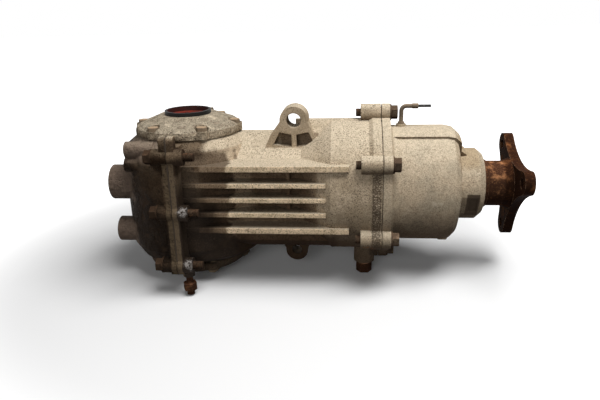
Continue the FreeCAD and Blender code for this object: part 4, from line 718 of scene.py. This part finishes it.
class DIFF_OT_coupling_cover(bpy.types.Operator):
    """Coupling cover: pale dust and a painted highlight on top, grey beige in the middle, brown grime and
    painted shade below, painted shade in its nose pockets
    """
    bl_idname = "diff.coupling_cover"
    bl_label = "Coupling cover"

    def execute(self, context):
        s = context.scene.diff_casting
        place = {"Stain_Edge": CLEAN_EDGE, "Oil_Edge": CLEAN_EDGE, "Oil_Top": 0.0, "Grime_Level": -0.004,
                 "Grime_Depth": 0.075}
        material, tree, shader, skin = casting_material("dusty_coupling_cover", s.dust, s.metal, place,
                                                        0.25, 0.5)
        # Painted shade in the nose pockets
        for side in (-1, 1):
            middle = side * POCKET_Y
            corners = ((POCKET_BACK, middle - POCKET_HALF, POCKET_BOTTOM),
                       (POCKET_FRONT, middle + POCKET_HALF, POCKET_TOP))
            skin = coat(tree, skin, box_mask(tree, corners, 0.0015, 0.001), 0.95, s.speck)
        skin = tint_box(tree, skin, s.nose_film, NOSE_SHOULDER, 0.008, 0.008)
        for centre in SCUFFS:
            scuff = group_node(tree, "paint_dab", Centre=centre, Radius=SCUFF_RADIUS)
            skin = coat(tree, skin, scuff.outputs["Mask"], 0.5, s.settled)
        link(tree, skin, shader.inputs["Base Color"])
        paint_nodes(material, "coupling_cover")
        return {"FINISHED"}


class DIFF_OT_retainers(bpy.types.Operator):
    """Side-bearing retainers"""
    bl_idname = "diff.retainers"
    bl_label = "Bearing retainers"

    def execute(self, context):
        s = context.scene.diff_casting
        place = {"Stain_Edge": -0.335, "Oil_Edge": CLEAN_EDGE, "Oil_Top": 0.064, "Grime_Level": 0.066,
                 "Grime_Depth": s.grime_depth}
        material, tree, shader, skin = casting_material("olive_retainer", s.olive, s.dust, place,
                                                        0.6, 0.6, 0.0050)
        link(tree, skin, shader.inputs["Base Color"])
        paint_nodes(material, "top_bearing_retainer", "bottom_bearing_retainer")
        return {"FINISHED"}


class DIFF_OT_input_flange(bpy.types.Operator):
    """Rusty companion flange with its nut and dust deflector"""
    bl_idname = "diff.input_flange"
    bl_label = "Input flange"

    def execute(self, context):
        s = context.scene.diff_steel
        material = rust_material("rusty_flange", s.rust_dark, s.rust_bright, s.rust_pale, 55.0, 0.75, 0.85,
                                 shade_front=True)
        paint_nodes(material, "companion_flange", "dust_deflector", "flange_nut")
        return {"FINISHED"}


class DIFF_OT_fasteners(bpy.types.Operator):
    """Bolts, plugs and stud"""
    bl_idname = "diff.fasteners"
    bl_label = "Fasteners"

    def execute(self, context):
        s = context.scene.diff_steel
        dusty = rust_material("dusty_bolts", s.bolt_dark, s.bolt_dust, s.rust_pale, 90.0, 0.5, 0.3)
        paint_nodes(dusty, "coupling_cover_bolts", "dowel_pins")
        caked = rust_material("caked_bolts", s.bolt_dust, s.olive_bolt, s.rust_pale, 90.0, 0.7, 0.2)
        paint_nodes(caked, "retainer_bolts")
        oily = rust_material("oily_bolts", s.oily_dark, s.oily_brown, s.rust_pale, 90.0, 0.6, 0.2)
        paint_nodes(oily, "rear_cover_bolts")
        rusty = rust_material("rusty_plugs", s.rust_dark, s.plug_rust, s.rust_pale, 80.0, 0.8, 0.25)
        paint_nodes(rusty, "drain_plug", "filler_plug", "lower_stud")
        washer = steel_material("copper_washer", s.copper, 0.35, 400.0)
        paint_nodes(washer, "drain_plug_washer")
        return {"FINISHED"}


class DIFF_OT_seals(bpy.types.Operator):
    """Axle and shaft seals"""
    bl_idname = "diff.seals"
    bl_label = "Oil seals"

    def execute(self, context):
        s = context.scene.diff_steel
        paint_nodes(axle_seal_material("axle_seal"), "output_seal_top", "output_seal_bottom")
        paint_nodes(rubber_material("shaft_seal", s.black, 0.45), "front_oil_seal")
        return {"FINISHED"}


class DIFF_OT_breather(bpy.types.Operator):
    """Breather pipe and its vent stub"""
    bl_idname = "diff.breather"
    bl_label = "Breather"

    def execute(self, context):
        s = context.scene.diff_steel
        pipe = rust_material("dusty_pipe", s.pipe_dark, s.pipe_dust, s.rust_pale, 120.0, 0.7, 0.4)
        paint_nodes(pipe, "breather_pipe")
        paint_nodes(rubber_material("vent_stub", s.black, 0.4), "vent_line_stub")
        return {"FINISHED"}


class DIFF_OT_gears(bpy.types.Operator):
    """Gears, differential case and shafts"""
    bl_idname = "diff.gears"
    bl_label = "Gears"

    def execute(self, context):
        s = context.scene.diff_steel
        gear = steel_material("gear_steel", s.gear, 0.28, 500.0)
        paint_nodes(gear, "ring_gear", "drive_pinion", "side_gear_top", "side_gear_bottom",
                    "spider_gear_near", "spider_gear_far", "cross_pin", "bearing_spacer", "pinion_nut",
                    "ring_gear_bolts")
        case = steel_material("case_iron", s.case_iron, 0.45, 260.0)
        paint_nodes(case, "differential_case")
        return {"FINISHED"}


class DIFF_OT_bearings(bpy.types.Operator):
    """Ball and roller bearings"""
    bl_idname = "diff.bearings"
    bl_label = "Bearings"

    def execute(self, context):
        s = context.scene.diff_steel
        ground = steel_material("bearing_steel", s.steel, 0.16, 700.0)
        paint_nodes(ground, "front_bearing_outer_ring", "front_bearing_inner_ring", "front_bearing_balls",
                    "front_snap_ring", "pinion_bearing_cups", "pinion_bearing_cones",
                    "pinion_bearing_rollers", "side_bearing_cups", "side_bearing_cones",
                    "side_bearing_rollers", "cam_balls")
        return {"FINISHED"}


class DIFF_OT_clutch(bpy.types.Operator):
    """Clutch coupling"""
    bl_idname = "diff.clutch"
    bl_label = "Clutch"

    def execute(self, context):
        s = context.scene.diff_steel
        plate = steel_material("clutch_steel", s.plate, 0.33, 350.0)
        paint_nodes(plate, "outer_clutch_plates", "coupling_drum", "armature", "clutch_hub", "pressure_cam",
                    "pilot_cam")
        lining = rubber_material("clutch_lining", s.lining, 0.6)
        paint_nodes(lining, "inner_clutch_plates")
        coil = rubber_material("coil_varnish", s.coil, 0.35)
        paint_nodes(coil, "magnet_coil")
        return {"FINISHED"}


def flat_edges(node, centre):
    """Edges of a flat node as end points across the X axis, seen from a centre."""
    middle_y, middle_z = centre
    edges = []
    for edge in node.data.edges:
        a, b = (node.data.vertices[i].co for i in edge.vertices)
        edges.append((a.y - middle_y, a.z - middle_z, b.y - middle_y, b.z - middle_z))
    return edges


def outline_radius(edges, direction):
    """Distance from the centre to the farthest of the edges, along a direction across the X axis."""
    across_y, across_z = direction
    far = 0.0
    for ay, az, by, bz in edges:
        side_a = across_y * az - across_z * ay
        side_b = across_y * bz - across_z * by
        if side_a * side_b > 0.0 or side_a == side_b:
            continue
        share = side_a / (side_a - side_b)
        along = across_y * (ay + share * (by - ay)) + across_z * (az + share * (bz - az))
        far = max(far, along)
    return far


def bead_mesh(name, sheet, centre, opening):
    """Uneven bead of squeezed-out sealant round the outline of a flat node.
    It stops where the node is open above and below; opening is the half width of that gap."""
    steps, sides = 240, 6
    points, faces, rings = [], [], []
    edges = flat_edges(frame["nodes"][sheet], centre)
    plane = middle_x(sheet)
    for i in range(steps):
        angle = 2.0 * math.pi * i / steps
        direction = (math.cos(angle), math.sin(angle))
        reach = outline_radius(edges, direction)
        if abs(direction[0] * reach) < opening:
            rings.append(None)
            continue
        rings.append(len(points))
        outward = Vector((0.0, *direction))
        spot = Vector((plane, *centre)) + outward * reach
        lumps = mathutils.noise.noise(spot * 90.0 + Vector((3.0, 7.0, 1.0))) ** 2
        crumbs = abs(mathutils.noise.noise(spot * 260.0))
        swell = BEAD_RADIUS * (0.45 + 1.1 * lumps + 0.6 * crumbs)
        for j in range(sides):
            turn = 2.0 * math.pi * j / sides
            flat = Vector((swell * 1.5 * math.sin(turn), 0.0, 0.0))
            points.append(spot + flat + outward * (swell * math.cos(turn)))
    for i in range(steps):
        first, last = rings[i - 1], rings[i]
        if first is not None and last is not None:
            for j in range(sides):
                k = (j + 1) % sides
                faces.append((first + j, last + j, last + k, first + k))
        elif last is not None:
            faces.append(tuple(range(last, last + sides)))
        elif first is not None:
            faces.append(tuple(reversed(range(first, first + sides))))
    return new_piece(name, points, faces)


def add_thread(points, faces, spot, long):
    """Add the ridge of a bolt's thread to the lists, from the spot forward along X."""
    pitch, height, sunk, per_turn = 0.00125, 0.00035, -0.0001, 14
    direction = Vector((1.0, 0.0, 0.0))
    across = direction.orthogonal().normalized()
    other = direction.cross(across)
    first = len(points)
    count = int(long / pitch * per_turn)
    for i in range(count + 1):
        turn = 2.0 * math.pi * i / per_turn
        out = across * math.cos(turn) + other * math.sin(turn)
        fade = min(1.0, i / per_turn, (count - i) / per_turn)
        middle = spot + direction * (pitch * i / per_turn)
        for shift, reach in ((-0.45, sunk), (0.0, height * fade), (0.45, sunk)):
            points.append(middle + direction * (shift * pitch) + out * (BOLT_RADIUS + reach))
    for i in range(count):
        a = first + 3 * i
        faces.append((a, a + 1, a + 4, a + 3))
        faces.append((a + 1, a + 2, a + 5, a + 4))
        faces.append((a + 2, a, a + 3, a + 5))
    end = first + 3 * count
    faces.append((first, first + 2, first + 1))
    faces.append((end, end + 1, end + 2))


def new_piece(name, points, faces):
    mesh = bpy.data.meshes.new(name)
    mesh.from_pydata([tuple(p) for p in points], [], faces)
    mesh.validate()
    piece = bpy.data.objects.new(name, mesh)
    bpy.context.scene.collection.objects.link(piece)
    return piece


class DIFF_OT_sealant_beads(bpy.types.Operator):
    """Sealant squeezed out of the two joints"""
    bl_idname = "diff.sealant_beads"
    bl_label = "Sealant beads"

    def execute(self, context):
        s = context.scene.diff_casting
        material = rubber_material("old_sealant", s.sealant, 0.75)
        for name, sheet, centre, opening in BEAD_JOINTS:
            bead = bead_mesh(name, sheet, centre, opening)
            bead.data.materials.append(material)
            for face in bead.data.polygons:
                face.use_smooth = True
            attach(bead, "housing")
        return {"FINISHED"}


class DIFF_OT_bolt_threads(bpy.types.Operator):
    """Threads on the open ends of the bolts"""
    bl_idname = "diff.bolt_threads"
    bl_label = "Bolt threads"

    def execute(self, context):
        s = context.scene.diff_steel
        points, faces = [], []
        for side in (-1, 1):
            for height in THROUGH_BOLT_HEIGHTS:
                spot = Vector((THROUGH_BOLT_X, side * THROUGH_BOLT_Y, height))
                add_thread(points, faces, spot, THROUGH_THREAD)
        for index in range(6):
            angle = math.radians(90.0 + 60.0 * index)
            outward = Vector((0.0, math.cos(angle), math.sin(angle)))
            spot = Vector((COUPLING_BOLT_X, 0.0, 0.0)) + outward * COUPLING_BOLT_CIRCLE
            add_thread(points, faces, spot, COUPLING_THREAD)
        threads = new_piece("bolt_threads", points, faces)
        material = rust_material("thread_rust", s.oily_dark, s.plug_rust, s.bolt_dust, 140.0, 0.6, 0.4)
        threads.data.materials.append(material)
        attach(threads, "housing")
        return {"FINISHED"}


def seen_directly(tree):
    """1 for rays from the camera, in mirrors and through glass; 0 for light that bounces."""
    light = put(tree, "ShaderNodeLightPath")
    mirror = maths(tree, "MAXIMUM", light.outputs["Is Glossy Ray"], light.outputs["Is Transmission Ray"])
    return maths(tree, "MAXIMUM", light.outputs["Is Camera Ray"], mirror)


def stage_material(name):
    """White matt floor that throws back little light and runs out to plain white."""
    material, tree, shader = new_material(name)
    where = object_place(tree)
    seen = seen_directly(tree)
    tone = maths(tree, "ADD", maths(tree, "MULTIPLY", seen, FLOOR_TONE - FLOOR_BOUNCE), FLOOR_BOUNCE)
    link(tree, blend_colour(tree, tone, BLACK, WHITE), shader.inputs["Base Color"])
    shader.inputs["Roughness"].default_value = 0.95
    shader.inputs["Specular IOR Level"].default_value = 0.1
    link(tree, bump(tree, noise(tree, where, 40.0, 3.0, 0.5), 0.02, 0.0005), shader.inputs["Normal"])
    apart = vector_maths(tree, "DISTANCE", where, CLEAR_CENTRE).outputs["Value"]
    clear = ramp(tree, apart, CLEAR_FROM, CLEAR_TO)
    glow = put(tree, "ShaderNodeEmission")
    glow.inputs["Color"].default_value = WHITE
    link(tree, maths(tree, "MULTIPLY", seen, clear), glow.inputs["Strength"])
    both = put(tree, "ShaderNodeAddShader")
    link(tree, shader.outputs[0], both.inputs[0])
    link(tree, glow.outputs[0], both.inputs[1])
    link(tree, both.outputs[0], tree.nodes["Material Output"].inputs["Surface"])
    return material


def add_lamp(name, place, size, power):
    data = bpy.data.lights.new(name, "AREA")
    data.shape = "RECTANGLE"
    data.size, data.size_y = size
    data.energy = power
    lamp = bpy.data.objects.new(name, data)
    lamp.location = place
    lamp.rotation_euler = (Vector(LAMP_TARGET) - Vector(place)).to_track_quat("-Z", "Y").to_euler()
    bpy.context.scene.collection.objects.link(lamp)


def add_floor(gap):
    """Flat floor just under the part."""
    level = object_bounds()[0][2] - gap
    corners = [(x * FLOOR_HALF, y * FLOOR_HALF, level) for x, y in ((-1, -1), (1, -1), (1, 1), (-1, 1))]
    floor = new_piece("stage_floor", corners, [(0, 1, 2, 3)])
    floor.data.materials.append(stage_material("stage_paper"))
    floor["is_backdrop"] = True


def add_world(ambient):
    """World that looks white and lights the part by the ambient share only."""
    world = bpy.data.worlds.new("stage_world")
    world.use_nodes = True
    tree = world.node_tree
    back = tree.nodes["Background"]
    back.inputs["Color"].default_value = WHITE
    lit = maths(tree, "ADD", maths(tree, "MULTIPLY", seen_directly(tree), 1.0 - ambient), ambient)
    link(tree, lit, back.inputs["Strength"])
    bpy.context.scene.world = world


def add_camera():
    """Camera on the part's near side, above it and a little rolled."""
    scene = bpy.context.scene
    data = bpy.data.cameras.new("photo_camera")
    data.sensor_width = SENSOR_MM
    data.lens = LENS_MM
    data.clip_start = 0.01
    camera = bpy.data.objects.new("photo_camera", data)
    elevation, heading, roll = (math.radians(angle) for angle in (ELEVATION, HEADING, ROLL))
    flat = math.cos(elevation)
    forward = Vector((math.sin(heading) * flat, math.cos(heading) * flat, -math.sin(elevation)))
    level_right = Vector((math.cos(heading), -math.sin(heading), 0.0))
    upward = level_right.cross(forward)
    right = level_right * math.cos(roll) + upward * math.sin(roll)
    top = -level_right * math.sin(roll) + upward * math.cos(roll)
    place = Vector(CAMERA_TARGET) - forward * CAMERA_DISTANCE
    camera.matrix_world = Matrix((
        (right.x, top.x, -forward.x, place.x), (right.y, top.y, -forward.y, place.y),
        (right.z, top.z, -forward.z, place.z), (0.0, 0.0, 0.0, 1.0)))
    scene.collection.objects.link(camera)
    scene.camera = camera


class DIFF_OT_stage(bpy.types.Operator):
    """Floor, lamps, world and camera"""
    bl_idname = "diff.stage"
    bl_label = "Stage"

    def execute(self, context):
        s = context.scene.diff_stage
        add_floor(s.floor_gap)
        add_lamp("overhead_lamp", (*OVERHEAD_PLACE, s.lamp_height), OVERHEAD_SIZE, s.lamp_power)
        add_lamp("front_fill", FILL_PLACE, FILL_SIZE, s.fill_power)
        add_world(s.ambient)
        context.scene.view_settings.view_transform = "Standard"
        add_camera()
        return {"FINISHED"}


STEPS = (DIFF_OT_effects, DIFF_OT_carrier, DIFF_OT_rear_cover, DIFF_OT_coupling_cover, DIFF_OT_retainers,
         DIFF_OT_input_flange, DIFF_OT_fasteners, DIFF_OT_seals, DIFF_OT_breather, DIFF_OT_gears,
         DIFF_OT_bearings, DIFF_OT_clutch, DIFF_OT_sealant_beads, DIFF_OT_bolt_threads, DIFF_OT_stage)
SETTINGS = (DiffCastingSettings, DiffSteelSettings, DiffStageSettings)


class DIFF_PT_panel(bpy.types.Panel):
    """Lists the pieces of the rear differential"""
    bl_idname = "DIFF_PT_panel"
    bl_label = "Rear differential"
    bl_space_type = "VIEW_3D"
    bl_region_type = "UI"
    bl_category = "Differential"

    def draw(self, context):
        for step in STEPS:
            self.layout.operator(step.bl_idname, text=step.bl_label)
        for group in (context.scene.diff_casting, context.scene.diff_steel, context.scene.diff_stage):
            for name in group.__annotations__:
                self.layout.prop(group, name)


def register():
    for item in SETTINGS + STEPS + (DIFF_PT_panel,):
        bpy.utils.register_class(item)
    bpy.types.Scene.diff_casting = bpy.props.PointerProperty(type=DiffCastingSettings)
    bpy.types.Scene.diff_steel = bpy.props.PointerProperty(type=DiffSteelSettings)
    bpy.types.Scene.diff_stage = bpy.props.PointerProperty(type=DiffStageSettings)


def unregister():
    del bpy.types.Scene.diff_stage
    del bpy.types.Scene.diff_steel
    del bpy.types.Scene.diff_casting
    for item in reversed(SETTINGS + STEPS + (DIFF_PT_panel,)):
        bpy.utils.unregister_class(item)


def main():
    register()
    for item in list(bpy.data.objects):
        if item.type in {"LIGHT", "CAMERA"}:
            bpy.data.objects.remove(item)
    bpy.ops.diff.effects()
    bpy.ops.diff.carrier()
    bpy.ops.diff.rear_cover()
    bpy.ops.diff.coupling_cover()
    bpy.ops.diff.retainers()
    bpy.ops.diff.input_flange()
    bpy.ops.diff.fasteners()
    bpy.ops.diff.seals()
    bpy.ops.diff.breather()
    bpy.ops.diff.gears()
    bpy.ops.diff.bearings()
    bpy.ops.diff.clutch()
    bpy.ops.diff.sealant_beads()
    bpy.ops.diff.bolt_threads()
    bpy.ops.diff.stage()


if __name__ == "__main__":
    main()
